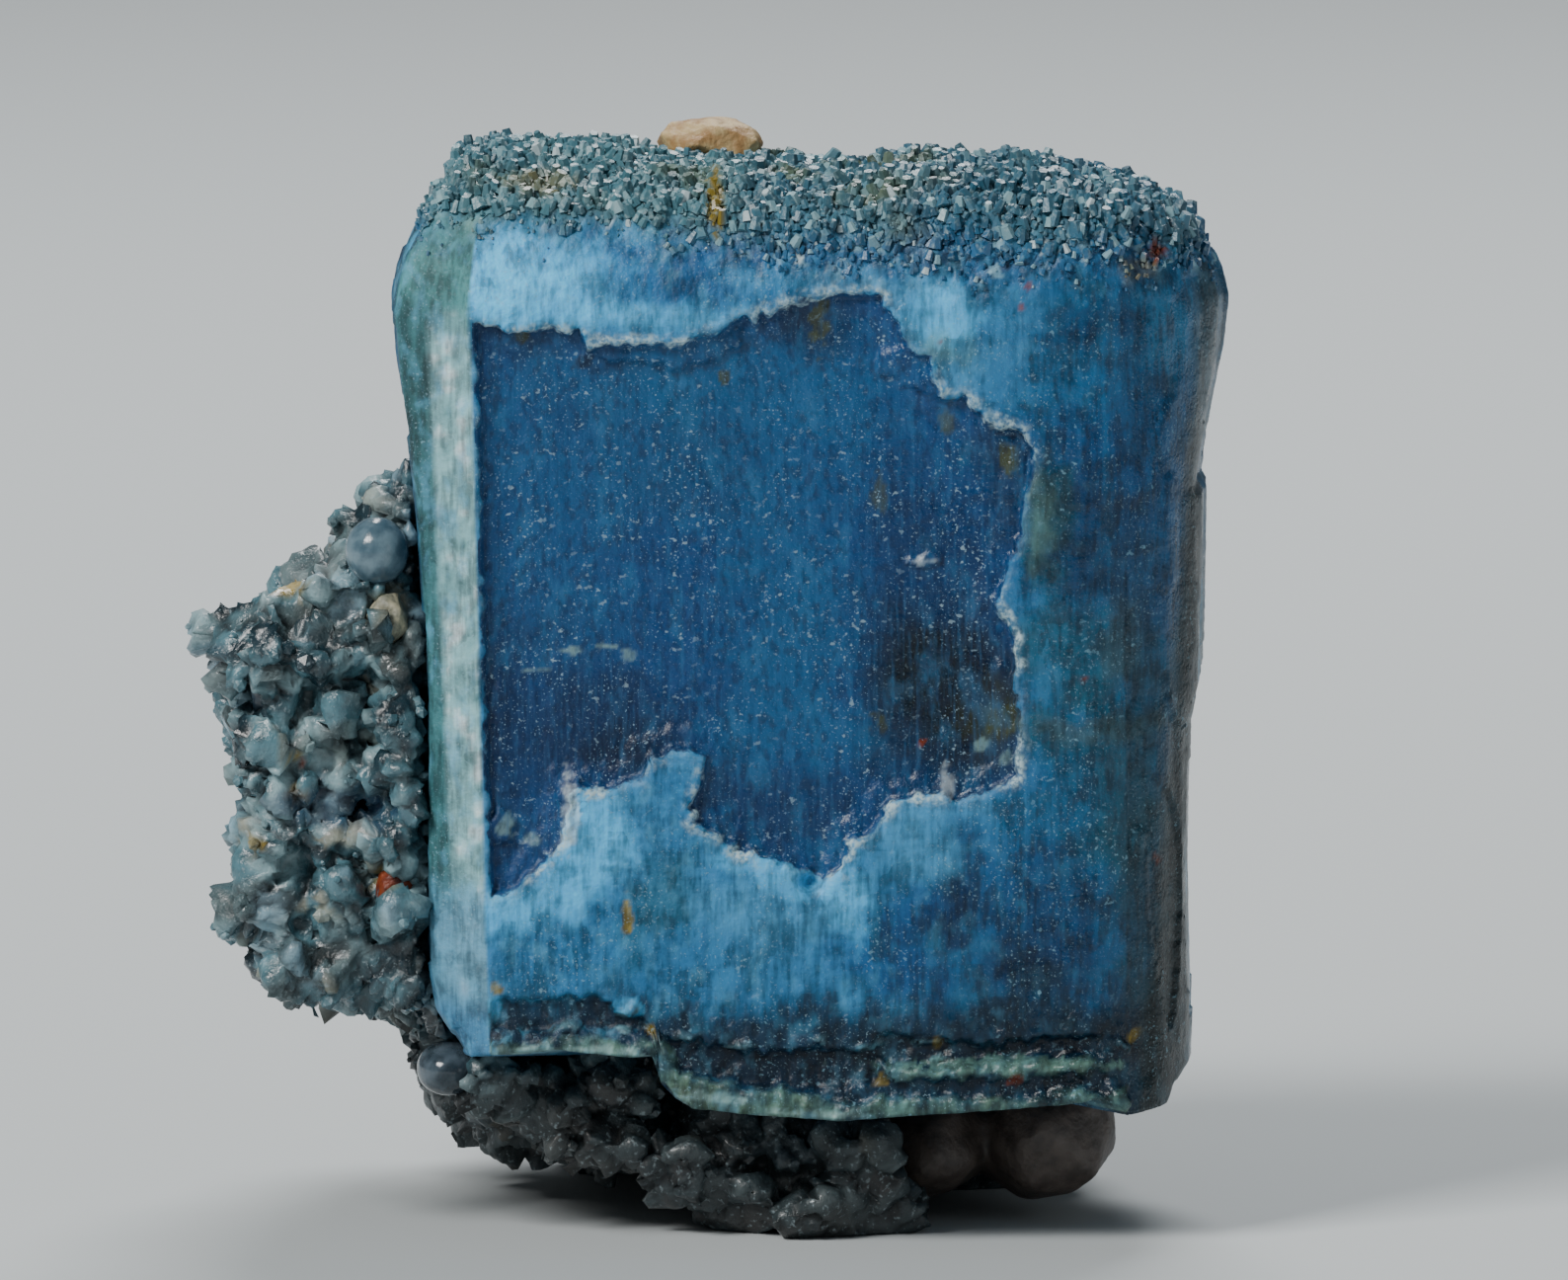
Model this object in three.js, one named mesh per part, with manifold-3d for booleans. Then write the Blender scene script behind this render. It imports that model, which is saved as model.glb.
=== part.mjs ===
// A stout blue beryl prism standing in a lump of grey quartz and feldspar rock.
// Millimetres, +Z up. The broad prism face looks towards -Y and +X is to its right.
// The rock is cut by nature so that the group stands on a few flat spots at z = 0.
import * as THREE from "three";
import { mergeVertices } from "three/addons/utils/BufferGeometryUtils.js";
import { ConvexGeometry } from "three/addons/geometries/ConvexGeometry.js";
import Module from "manifold-3d";

const wasm = await Module();
wasm.setup();

// Driving sizes of the crystal. Its front face is the plane y = 0 until the group is centred.
const CRYSTAL_DEPTH = 6.3;
const TOP_Z = 15.2;
const LAYER = 0.26; // thickness of the pale outer layer round the clear window
const TOP_SLOPES = [
  { through: [0, 0, 14.62], normal: [0, -0.28, 0.96] },
  { through: [-4.4, 0, 14.9], normal: [-0.5, -0.1, 0.86] },
  { through: [4.8, 0, 14.8], normal: [0.3, -0.2, 0.93] },
  { through: [7.1, 0, 13.7], normal: [0.86, -0.3, 0.4] },
];
const LIP = 0.16; // how far the broken lips at the foot stand proud
const LIP_ROOT = 0.3; // how deep a lip runs into the crystal
const PIT = { at: [1.2, 0.3, 5.3], half: [0.18, 0.35, 0.16] };
const BEVEL_ANGLE = THREE.MathUtils.degToRad(30);
const PRISM_ANGLE = THREE.MathUtils.degToRad(60);
const SIDE_FACE_END_Y = 4.3; // where the side faces turn towards the back

// Driving sizes of the rock.
const GAP = 0.06; // seam between two minerals
const ROCK_MIDDLE = [-1.2, 5.2];
const VIEW_RISE = 0.122; // the rock's rim drops by this much for each millimetre back
const RIM_DEPTH = 3.0; // depth at which the rim outline below was measured
const BIG = 60; // side of a cutting block, larger than the whole group
const FOOT_LEAN = 0.3; // how far, in radians, a foot is turned at random
const FINEST = 0.006; // the joins keep no sliver thinner than this

// Outline of the crystal seen from the front, as [x, z], from the foot up the left side.
const CRYSTAL_OUTLINE = [
  [-3.72, 2.72], [-4.14, 3.36], [-4.27, 4.1], [-4.3, 5.2], [-4.28, 7.8], [-4.34, 9.2],
  [-4.42, 10.4], [-4.56, 11.6], [-4.7, 12.5], [-4.76, 13.4], [-4.73, 14.6], [-4.5, TOP_Z],
  [4.6, TOP_Z], [5.8, 14.85], [6.46, 14.7], [6.89, 14.5], [7.12, 14.07], [7.2, 13.4],
  [7.13, 12.7], [6.98, 11.9], [6.84, 11.2], [6.78, 10.78], [6.89, 10.6], [6.86, 7.9],
  [6.71, 7.4], [6.66, 5.5], [6.7, 3.5], [6.67, 2.47], [6.49, 2.26], [6.46, 1.98],
  [5.76, 1.9], [5.5, 2.2], [4.84, 2.09], [3.7, 2.0], [1.6, 1.86], [0.35, 1.95],
  [-0.49, 2.08], [-0.77, 2.36], [-1.0, 2.8], [-1.33, 2.76], [-2.46, 2.88], [-3.3, 2.8],
];

// Ragged rim of the window, where the outer layer has broken away, as [x, z].
const WINDOW_OUTLINE = [
  [-3.69, 13.31], [-3.3, 13.26], [-2.99, 13.12], [-2.46, 13.22], [-2.06, 13.21],
  [-1.9, 12.95], [-1.33, 13.03], [-0.63, 12.95], [0.14, 13.33], [0.49, 13.34],
  [0.91, 13.57], [1.61, 13.71], [2.25, 13.66], [2.46, 13.33], [2.57, 12.95],
  [2.95, 12.8], [2.88, 12.49], [3.05, 12.27], [3.41, 12.17], [3.79, 11.84],
  [4.14, 11.73], [4.42, 11.47], [4.25, 10.57], [4.11, 9.93], [3.83, 9.27],
  [4.11, 8.73], [4.2, 7.53], [4.11, 6.82], [3.79, 6.61], [3.27, 6.44],
  [2.67, 6.57], [2.39, 6.44], [2.11, 6.01], [1.78, 5.79], [1.73, 5.48],
  [1.33, 5.31], [0.91, 5.53], [0.14, 5.73], [-0.42, 6.1], [-0.49, 6.4],
  [-0.27, 7.03], [-0.63, 7.15], [-1.08, 7.03], [-1.19, 6.75], [-1.61, 6.61],
  [-2.25, 6.61], [-2.32, 5.9], [-2.67, 5.48], [-2.95, 5.19], [-3.42, 5.11],
];

// Thin leaves of the outer layer left on the window: how far each one rises, and its outline.
const LEAF_ROOT = 0.1; // how deep a leaf runs into the window
const WINDOW_LEAVES = [
  {
    rise: 0.14,
    outline: [[-2.8, 8.7], [-2.2, 8.75], [-1.4, 8.65], [-1.35, 8.25], [-2.1, 8.2], [-2.75, 8.3]],
  },
  {
    rise: 0.1,
    outline: [[-2.05, 13.1], [-1.9, 12.6], [-1.2, 12.7], [-0.6, 12.55], [0.2, 12.9], [0.1, 13.4]],
  },
  {
    rise: 0.1,
    outline: [[2.4, 9.95], [3.2, 9.98], [3.15, 9.75], [2.45, 9.78]],
  },
  {
    rise: 0.12,
    outline: [[2.6, 13.0], [2.95, 12.85], [3.1, 12.2], [2.2, 12.4], [1.9, 12.6], [2.1, 12.9]],
  },
];

// Broken lips along the foot of the front face, as [x, z] outlines.
const FOOT_LIPS = [
  [[-3.72, 3.0], [-3.72, 2.74], [-2.46, 2.86], [-1.33, 2.7], [-1.0, 2.78], [-0.95, 3.12],
    [-1.5, 3.02], [-2.1, 3.1], [-3.0, 3.0]],
  [[-0.98, 3.1], [-0.98, 2.7], [-0.75, 2.34], [-0.49, 2.06], [0.35, 1.93], [1.6, 1.84],
    [3.7, 1.98], [4.84, 2.07], [5.7, 2.0], [5.72, 2.3], [4.6, 2.26], [3.2, 2.2], [1.5, 2.16],
    [0.9, 2.3], [0.3, 2.35], [-0.2, 2.42], [-0.6, 2.62], [-0.8, 3.0]],
  [[2.2, 2.62], [2.25, 2.4], [3.6, 2.46], [5.1, 2.52], [5.5, 2.6], [5.4, 2.74], [4.2, 2.72],
    [3.4, 2.66]],
];

// Upright growth ridges on the sides and the back: where each row runs and which way it faces.
const RIDGE_ROWS = [
  { from: [6.74, 1.75], to: [6.7, 4.2], low: 3.0, high: 11.6, count: 5 },
  { from: [-4.26, 1.0], to: [-4.26, 4.1], low: 4.0, high: 11.0, count: 5 },
  { from: [5.2, 6.26], to: [-2.6, 6.26], low: 10.2, high: 14.9, count: 9 },
];
const RIDGE_STEP = 0.13; // the most that a ridge stands proud
const RIDGE_WIDTH = [0.35, 0.9]; // narrowest and widest ridge
const RIDGE_LENGTH = [0.35, 0.8]; // shortest and longest, as a part of its row's height

// Blocky growths that roughen the top like coarse sugar.
const TOP_BLOCKS = {
  step: 0.94,
  from: [-4.0, 0.55],
  to: [6.6, CRYSTAL_DEPTH - 0.1],
  halfX: [0.44, 0.7],
  halfY: [0.42, 0.66],
  halfZ: 0.55,
  proud: [0, 0.3],
  sunk: 0.45,
  lean: 0.6,
};

// Rim of the rock seen from the front, as [x, z], from the crystal's left side round the foot.
// The last six points lie behind the crystal.
const ROCK_RIM = [
  [-4.7, 10.77], [-5.19, 10.06], [-5.48, 9.21], [-6.11, 9.0], [-6.6, 8.64], [-6.95, 8.01],
  [-7.1, 7.3], [-6.92, 6.6], [-6.84, 5.8], [-6.74, 4.97], [-5.97, 4.47], [-5.34, 3.9],
  [-4.7, 3.2], [-4.25, 2.42], [-3.58, 1.71], [-2.67, 1.36], [-1.83, 0.93], [-0.49, 0.44],
  [0.5, -0.06], [1.7, -0.1], [2.74, 0.02], [3.9, 0.28], [4.91, 0.15], [5.6, 0.7],
  [5.7, 3.0], [5.6, 5.2], [4.9, 7.2], [3.2, 8.8], [0.6, 9.8], [-2.2, 10.7],
];

// How deep each ring of grains lies, how far it keeps to the rim (1 is on it), the grains'
// smallest and largest half sizes, and whether each rim point or each second one gets a grain.
const ROCK_RINGS = [
  { y: 2.2, reach: 0.98, small: 0.5, large: 0.75, every: 1 },
  { y: 4.5, reach: 1.0, small: 0.8, large: 1.1, every: 2 },
  { y: 6.8, reach: 0.98, small: 0.95, large: 1.3, every: 2 },
  { y: 8.9, reach: 0.76, small: 1.1, large: 1.5, every: 3 },
];

// Large lumps inside the rock: centre and half sizes.
const ROCK_LUMPS = [
  { at: [-5.4, 4.2, 7.0], half: [1.35, 2.6, 2.6] },
  { at: [-4.6, 5.0, 4.6], half: [1.9, 3.2, 2.0] },
  { at: [-2.2, 5.4, 2.9], half: [2.6, 3.6, 2.3] },
  { at: [1.0, 5.2, 1.42], half: [2.6, 3.5, 1.75] },
  { at: [3.4, 5.8, 2.0], half: [2.3, 3.2, 1.8] },
  { at: [-2.8, 7.6, 6.6], half: [2.9, 2.0, 3.6] },
  { at: [0.8, 7.7, 5.4], half: [3.4, 2.2, 3.8] },
  { at: [3.0, 7.6, 4.4], half: [2.4, 1.9, 3.3] },
];

// Low grains that the group stands on, cut flat by the ground: centre and half sizes.
const FEET = [
  { at: [1.5, 2.6, 0.45], half: [1.0, 0.8, 0.9] },
  { at: [-1.5, 8.0, 0.5], half: [1.1, 1.1, 1.0] },
  { at: [4.3, 7.6, 0.5], half: [1.1, 1.1, 1.0] },
];

// Blocky studs over the rock's left flank, beside the crystal, and under its foot.
const STUD_STEP = 0.9;
const STUD_JITTER = 0.2;
const FLANK_STUDS = { low: 3.9, high: 10.2, right: -4.5, half: [0.46, 0.68], y: [1.2, 1.7], lean: 0.25 };
const FOOT_STUDS = { left: -3.4, right: 2.4, half: [0.48, 0.7], y: [1.5, 2.1] };

// Single grains that stand out of the rock. round is how ball-like each is: 2 is an ellipsoid.
const GRAINS = {
  feldspar_grain_top: { at: [-0.24, 5.1, 15.36], half: [0.8, 0.62, 0.36], corners: 22, round: 2.6 },
  feldspar_grain_left: { at: [-4.84, 1.0, 8.95], half: [0.34, 0.36, 0.36], corners: 12, round: 3 },
  quartz_block_left: { at: [-6.4, 2.0, 8.0], half: [0.46, 0.62, 0.6], corners: 14, round: 5 },
  quartz_knob_left: { at: [-7.0, 2.6, 7.35], half: [0.24, 0.26, 0.24], corners: 16, round: 2.4 },
  iron_grain: { at: [-4.72, 0.95, 5.12], half: [0.3, 0.34, 0.32], corners: 14, round: 2.6 },
};

// A smooth brown feldspar under the foot: two lobes grown together, with a crease between.
const LOBES_FROM_X = 2.2;
const FELDSPAR_LOBES = [
  { at: [4.62, 3.4, 1.21], half: [1.14, 1.5, 0.96], corners: 40, round: 2.3 },
  { at: [2.9, 3.2, 1.07], half: [0.95, 1.3, 0.84], corners: 36, round: 2.3 },
];

// Two rounded, glassy beads of quartz.
const BEADS = {
  quartz_bead_upper: { at: [-4.98, 1.15, 9.9], half: [0.46, 0.5, 0.5] },
  quartz_bead_lower: { at: [-3.98, 1.5, 2.4], half: [0.46, 0.6, 0.4] },
};

const LOOKS = {
  beryl_crystal: { color: 0x2f6f9f, roughness: 0.35, metalness: 0 },
  matrix_rock: { color: 0x4c5459, roughness: 0.55, metalness: 0 },
  feldspar_grain_top: { color: 0xc2aa7c, roughness: 0.7, metalness: 0 },
  feldspar_grain_left: { color: 0xb9ad93, roughness: 0.6, metalness: 0 },
  quartz_block_left: { color: 0x5b6d7c, roughness: 0.25, metalness: 0 },
  quartz_knob_left: { color: 0x4a4f4c, roughness: 0.4, metalness: 0 },
  iron_grain: { color: 0x7a3b22, roughness: 0.6, metalness: 0 },
  feldspar_lobes: { color: 0x57493f, roughness: 0.6, metalness: 0 },
  quartz_bead_upper: { color: 0x6f8390, roughness: 0.12, metalness: 0 },
  quartz_bead_lower: { color: 0x66757c, roughness: 0.12, metalness: 0 },
};

// A seeded source of numbers from 0 to 1, so that the group is the same every time.
function numbers(seed) {
  let state = seed;
  return () => {
    state = (state + 0x6d2b79f5) | 0;
    let t = Math.imul(state ^ (state >>> 15), 1 | state);
    t = (t + Math.imul(t ^ (t >>> 7), 61 | t)) ^ t;
    return ((t ^ (t >>> 14)) >>> 0) / 4294967296;
  };
}

function between(next, low, high) {
  return low + (high - low) * next();
}

// A closed three.js geometry as a solid that can be cut and joined.
function solid(geometry) {
  geometry.deleteAttribute("normal");
  geometry.deleteAttribute("uv");
  const merged = mergeVertices(geometry, 1e-5);
  return new wasm.Manifold(
    new wasm.Mesh({
      numProp: 3,
      vertProperties: merged.attributes.position.array,
      triVerts: new Uint32Array(merged.index.array),
    }),
  );
}

function union(solids) {
  return wasm.Manifold.union(solids);
}

// The biggest body of a solid: chips that a cut has set loose are dropped.
function largest(made) {
  const bodies = made.decompose();
  bodies.sort((a, b) => b.volume() - a.volume());
  return bodies[0];
}

// A plate whose outline lies in the x-z plane, from y = front to y = front + thickness.
function plate(outline, front, thickness) {
  const shape = new THREE.Shape(outline.map(([x, z]) => new THREE.Vector2(x, z)));
  const geometry = new THREE.ExtrudeGeometry(shape, { depth: thickness, bevelEnabled: false });
  geometry.rotateX(Math.PI / 2);
  geometry.translate(0, front + thickness, 0);
  return solid(geometry);
}

function box(at, size, turn = new THREE.Euler()) {
  const geometry = new THREE.BoxGeometry(...size);
  geometry.applyMatrix4(new THREE.Matrix4().makeRotationFromEuler(turn));
  geometry.translate(...at);
  return solid(geometry);
}

// Everything on the far side of a plane through a point, as one block to cut away.
function beyond(point, normal) {
  const geometry = new THREE.BoxGeometry(BIG, BIG, BIG);
  geometry.translate(0, 0, BIG / 2);
  const turn = new THREE.Quaternion().setFromUnitVectors(
    new THREE.Vector3(0, 0, 1),
    new THREE.Vector3(...normal).normalize(),
  );
  geometry.applyQuaternion(turn);
  geometry.translate(...point);
  return solid(geometry);
}

// An angular grain: the hull of corners spread over a rounded box.
function grain({ at, half, corners = 14, round = 3 }, next, swell = 0) {
  const points = [];
  const golden = Math.PI * (3 - Math.sqrt(5));
  for (let i = 0; i < corners; i += 1) {
    const z = 1 - (2 * (i + 0.5)) / corners;
    const angle = i * golden + between(next, -0.35, 0.35);
    const ring = Math.sqrt(1 - z * z);
    const p = new THREE.Vector3(ring * Math.cos(angle), ring * Math.sin(angle), z);
    const powers = p.toArray().map((v) => Math.abs(v) ** round);
    const norm = (powers[0] + powers[1] + powers[2]) ** (1 / round);
    p.multiplyScalar(between(next, 0.88, 1.06) / norm);
    points.push(p);
  }
  const turn = new THREE.Euler(...[0, 1, 2].map(() => between(next, -0.4, 0.4)));
  const geometry = new ConvexGeometry(points.map((p) => p.applyEuler(turn)));
  geometry.scale(...half.map((h) => h + swell));
  geometry.translate(...at);
  return solid(geometry);
}

// A blocky grain: a box whose eight corners are pushed about, turned at random.
function block({ at, half, lean = 3 }, next) {
  const points = [];
  for (const x of [-1, 1]) {
    for (const y of [-1, 1]) {
      for (const z of [-1, 1]) {
        points.push(new THREE.Vector3(x, y, z).multiplyScalar(between(next, 0.66, 0.92)));
      }
    }
  }
  const turn = new THREE.Euler(...[0, 1, 2].map(() => between(next, -lean / 2, lean / 2)));
  const geometry = new ConvexGeometry(points.map((p) => p.applyEuler(turn)));
  geometry.scale(...half);
  geometry.translate(...at);
  return solid(geometry);
}

function bead({ at, half }, swell = 0) {
  const geometry = new THREE.IcosahedronGeometry(1, 2);
  geometry.scale(...half.map((h) => h + swell));
  geometry.translate(...at);
  return solid(geometry);
}

function lobes(swell = 0) {
  return union(FELDSPAR_LOBES.map((lobe, i) => grain(lobe, numbers(50 + i), swell)));
}

// The plain prism: the front outline carried back, then cut by the slanting prism faces.
function prism() {
  const bevel = [-Math.sin(BEVEL_ANGLE), -Math.cos(BEVEL_ANGLE), -0.012];
  const rightFace = [Math.sin(PRISM_ANGLE), -Math.cos(PRISM_ANGLE), 0.004];
  const backRight = [Math.sin(PRISM_ANGLE), Math.cos(PRISM_ANGLE), 0];
  const backLeft = [-Math.sin(PRISM_ANGLE), Math.cos(PRISM_ANGLE), 0];
  const top = TOP_SLOPES.map(({ through, normal }) => beyond(through, normal));
  return plate(CRYSTAL_OUTLINE, 0, CRYSTAL_DEPTH)
    .subtract(beyond([-3.5, 0, 9], bevel))
    .subtract(beyond([5.83, 0, 9], rightFace))
    .subtract(beyond([6.85, SIDE_FACE_END_Y, 9], backRight))
    .subtract(beyond([-4.45, SIDE_FACE_END_Y, 9], backLeft))
    .subtract(union(top));
}

// Height of the crowned top at a place on it, which the slopes leave.
function topHeight(x, y) {
  return Math.min(
    TOP_Z,
    ...TOP_SLOPES.map(({ through, normal }) => {
      const run = (x - through[0]) * normal[0] + (y - through[1]) * normal[1];
      return through[2] - run / normal[2];
    }),
  );
}

function topBlocks() {
  const next = numbers(11);
  const blocks = [];
  const { step, from, to, halfX, halfY, halfZ, proud, sunk, lean } = TOP_BLOCKS;
  for (let x = from[0]; x < to[0]; x += step) {
    for (let y = from[1]; y < to[1]; y += step) {
      const cutCorner = y > 5 && (x > 5.8 || x < -3.6);
      const beside = x > 6.1 && y < 1.2;
      if (cutCorner || beside) continue;
      const half = [between(next, ...halfX), between(next, ...halfY), halfZ];
      const rise = between(next, ...proud);
      const place = [x + between(next, -0.12, 0.12), y + between(next, 0, 0.2)];
      const at = [...place, topHeight(...place) + rise - sunk];
      blocks.push(block({ at, half, lean }, next));
    }
  }
  return blocks;
}

// Upright ridges and steps left by growth, along one row.
function ridges({ from, to, low, high, count }, next) {
  const made = [];
  const alongY = Math.abs(to[1] - from[1]) > Math.abs(to[0] - from[0]);
  for (let i = 0; i < count; i += 1) {
    const along = (i + between(next, 0.2, 0.8)) / count;
    const height = between(next, ...RIDGE_LENGTH) * (high - low);
    const z = between(next, low + height / 2, high - height / 2);
    const x = THREE.MathUtils.lerp(from[0], to[0], along);
    const y = THREE.MathUtils.lerp(from[1], to[1], along);
    const wide = between(next, ...RIDGE_WIDTH);
    const thick = 2 * between(next, 0.4, 1) * RIDGE_STEP;
    made.push(box([x, y, z], alongY ? [thick, wide, height] : [wide, thick, height]));
  }
  return made;
}

function berylCrystal(body) {
  const next = numbers(7);
  const windowCut = plate(WINDOW_OUTLINE, -1, 1 + LAYER);
  const leaves = WINDOW_LEAVES.map(({ rise, outline }) => plate(outline, LAYER - rise, rise + LEAF_ROOT));
  const lips = FOOT_LIPS.map((outline) => plate(outline, -LIP, LIP + LIP_ROOT));
  const upright = RIDGE_ROWS.flatMap((row) => ridges(row, next));
  const pit = grain(PIT, numbers(5));
  return union([body, ...topBlocks(), ...upright])
    .subtract(windowCut)
    .add(union([...leaves, ...lips]))
    .subtract(pit);
}

// Lumps inside the rock and the rings of grains that follow its rim.
function rockGrains() {
  const next = numbers(23);
  const grains = ROCK_LUMPS.map((lump) => grain({ ...lump, corners: 26, round: 2.6 }, next));
  for (const { y, reach, small, large, every } of ROCK_RINGS) {
    for (let i = 0; i < ROCK_RIM.length; i += every) {
      const onLobes = ROCK_RIM[i][0] > LOBES_FROM_X && ROCK_RIM[i][1] < 1 && y < RIM_DEPTH + 2;
      if (onLobes) continue;
      const r = between(next, small, large);
      const dx = ROCK_RIM[i][0] - ROCK_MIDDLE[0];
      const dz = ROCK_RIM[i][1] - ROCK_MIDDLE[1];
      const far = Math.hypot(dx, dz);
      const keep = (reach * far - r * 0.95) / far;
      const at = [
        ROCK_MIDDLE[0] + dx * keep,
        y + between(next, -0.5, 0.5),
        ROCK_MIDDLE[1] + dz * keep - (y - RIM_DEPTH) * VIEW_RISE,
      ];
      grains.push(block({ at, half: [r, r * between(next, 1.1, 1.7), r] }, next));
    }
  }
  return grains.concat(FEET.map((foot) => block({ ...foot, lean: FOOT_LEAN }, next)));
}

function rockStuds() {
  const next = numbers(37);
  const studs = [];
  for (let z = FLANK_STUDS.low; z < FLANK_STUDS.high; z += STUD_STEP) {
    const left = z < 8.8 ? -6.4 : -5.3;
    for (let x = left; x < FLANK_STUDS.right; x += STUD_STEP) {
      const r = between(next, ...FLANK_STUDS.half);
      const across = x + between(next, -STUD_JITTER, STUD_JITTER);
      const back = between(next, ...FLANK_STUDS.y) - (x + 5) * FLANK_STUDS.lean;
      studs.push(block({ at: [across, back, z], half: [r, r * 1.3, r] }, next));
    }
  }
  for (let x = FOOT_STUDS.left; x < FOOT_STUDS.right; x += STUD_STEP) {
    const foot = x < 0.6 ? 0.6 - 0.5 * x : 0.3;
    const top = x < -1 ? 2.6 : 1.7;
    for (let z = foot; z < top; z += STUD_STEP) {
      const r = between(next, ...FOOT_STUDS.half);
      const across = x + between(next, -STUD_JITTER, STUD_JITTER);
      studs.push(block({ at: [across, between(next, ...FOOT_STUDS.y), z], half: [r, r * 1.4, r] }, next));
    }
  }
  return studs;
}

// The seam that the rock keeps round the prism: the prism moved a little each way.
function swollen(body) {
  const copies = [];
  for (const axis of [0, 1, 2]) {
    for (const way of [-GAP, GAP]) {
      const move = [0, 0, 0];
      move[axis] = way;
      copies.push(body.translate(move));
    }
  }
  return union(copies);
}

function matrixRock(bed, sockets) {
  const ground = beyond([0, 0, 0], [0, 0, -1]);
  const rock = union([...rockGrains(), ...rockStuds()])
    .subtract(swollen(bed))
    .subtract(union(sockets))
    .subtract(ground);
  return rock;
}

function mesh(name, made) {
  const { vertProperties, triVerts } = largest(made.setTolerance(FINEST)).getMesh();
  const geometry = new THREE.BufferGeometry();
  geometry.setAttribute("position", new THREE.BufferAttribute(new Float32Array(vertProperties), 3));
  geometry.setIndex(new THREE.BufferAttribute(new Uint32Array(triVerts), 1));
  geometry.computeVertexNormals();
  const part = new THREE.Mesh(geometry, new THREE.MeshStandardMaterial(LOOKS[name]));
  part.name = name;
  return part;
}

const parts = {};
const sockets = [];
Object.entries(GRAINS).forEach(([name, shape], i) => {
  parts[name] = grain(shape, numbers(100 + i));
  sockets.push(grain(shape, numbers(100 + i), GAP));
});
for (const [name, shape] of Object.entries(BEADS)) {
  parts[name] = bead(shape);
  sockets.push(bead(shape, GAP));
}
parts.feldspar_lobes = lobes();
sockets.push(lobes(GAP));
parts.beryl_crystal = berylCrystal(prism()).subtract(union(sockets));
parts.matrix_rock = matrixRock(parts.beryl_crystal, sockets);

const specimen = new THREE.Group();
for (const [name, made] of Object.entries(parts)) {
  specimen.add(mesh(name, made));
}

// The group's origin is the middle of its footprint, on the surface it stands on.
const extent = new THREE.Box3().setFromObject(specimen);
const middle = extent.getCenter(new THREE.Vector3());
specimen.position.set(-middle.x, -middle.y, -extent.min.z);

const group = new THREE.Group();
group.add(specimen);

export default group;
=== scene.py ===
# %% [markdown]
# A thumbnail specimen: one stout blue beryl prism that grew on a lump of grey quartz and feldspar.
# The solid model already has every mineral at its real size. This lesson keeps each of them in
# its place and gives it the fine relief and the colours that the eye finds on the real stone.

# %% Load the solid model
import math
from itertools import product

import bmesh
import bpy
import numpy as np
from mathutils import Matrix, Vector


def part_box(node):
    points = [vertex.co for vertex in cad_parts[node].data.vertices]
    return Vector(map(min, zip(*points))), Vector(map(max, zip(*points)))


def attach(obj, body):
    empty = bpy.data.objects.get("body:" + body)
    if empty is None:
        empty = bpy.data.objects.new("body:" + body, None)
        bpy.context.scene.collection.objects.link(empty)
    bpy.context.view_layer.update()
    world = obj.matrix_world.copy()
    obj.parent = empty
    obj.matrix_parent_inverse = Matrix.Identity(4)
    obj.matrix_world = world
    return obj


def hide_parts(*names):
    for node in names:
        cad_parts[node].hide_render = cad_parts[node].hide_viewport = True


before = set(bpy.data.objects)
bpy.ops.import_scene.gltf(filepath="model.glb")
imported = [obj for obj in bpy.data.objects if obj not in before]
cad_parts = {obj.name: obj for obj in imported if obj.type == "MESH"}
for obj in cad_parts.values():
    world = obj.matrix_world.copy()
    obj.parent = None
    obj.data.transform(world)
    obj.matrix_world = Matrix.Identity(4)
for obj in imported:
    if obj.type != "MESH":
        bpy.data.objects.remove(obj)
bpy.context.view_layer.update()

MM = 0.001  # every size below is in millimetres, and becomes metres when a mesh is made
print("nodes:", sorted(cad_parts))

# %% [markdown]
# All outlines below are measured from the middle of the crystal's front face, on the plane of
# that face, because that is how one measures a crystal under a lens. One round bead in the rock
# is known in both systems, so its box tells where that zero point lies in the model.

# %% The crystal's own zero point
BEAD_IN_CRYSTAL = np.array([-4.98, 1.15, 9.9])
bead_low, bead_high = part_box("quartz_bead_upper")
ZERO = (np.array(bead_low) + np.array(bead_high)) / 2 / MM - BEAD_IN_CRYSTAL
print("crystal zero in the model, mm:", ZERO.round(3))

# %% [markdown]
# Natural surfaces are never regular, so almost every step needs noise. Smooth noise rolls up and
# down and gives stains, waves and ragged edges. It works on whole arrays of points and is seeded,
# so the stone is the same each time.

# %% Smooth noise
MIX_X, MIX_Y, MIX_Z, MIX_SEED = 374761393, 668265263, 1274126177, 974711
BITS_32, BITS_16 = 0xFFFFFFFF, 0xFFFF


def scramble(cell, seed):
    """A repeatable number from 0 to 1 for each whole-number cell."""
    n = cell[..., 0] * MIX_X + cell[..., 1] * MIX_Y + cell[..., 2] * MIX_Z
    n = (n + seed * MIX_SEED) & BITS_32
    n = ((n ^ (n >> 13)) * MIX_Z) & BITS_32
    return ((n ^ (n >> 16)) & BITS_16) / BITS_16


def cloud(points, size, seed=0):
    """Smooth noise from -1 to 1 whose lumps are about size across."""
    p = points / size
    base = np.floor(p).astype(np.int64)
    f = p - base
    f = f * f * (3 - 2 * f)
    total = np.zeros(len(p))
    for corner in product((0, 1), repeat=3):
        weight = np.prod(np.where(np.array(corner), f, 1 - f), axis=-1)
        total += weight * scramble(base + np.array(corner), seed)
    return 2 * total - 1


def rough(points, size, seed=0, octaves=4):
    """Smooth noise with finer and finer noise added to it."""
    total = np.zeros(len(points))
    for i in range(octaves):
        total += cloud(points, size / 2**i, seed + i) / 2**i
    return total / (2 - 2 ** (1 - octaves))


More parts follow.
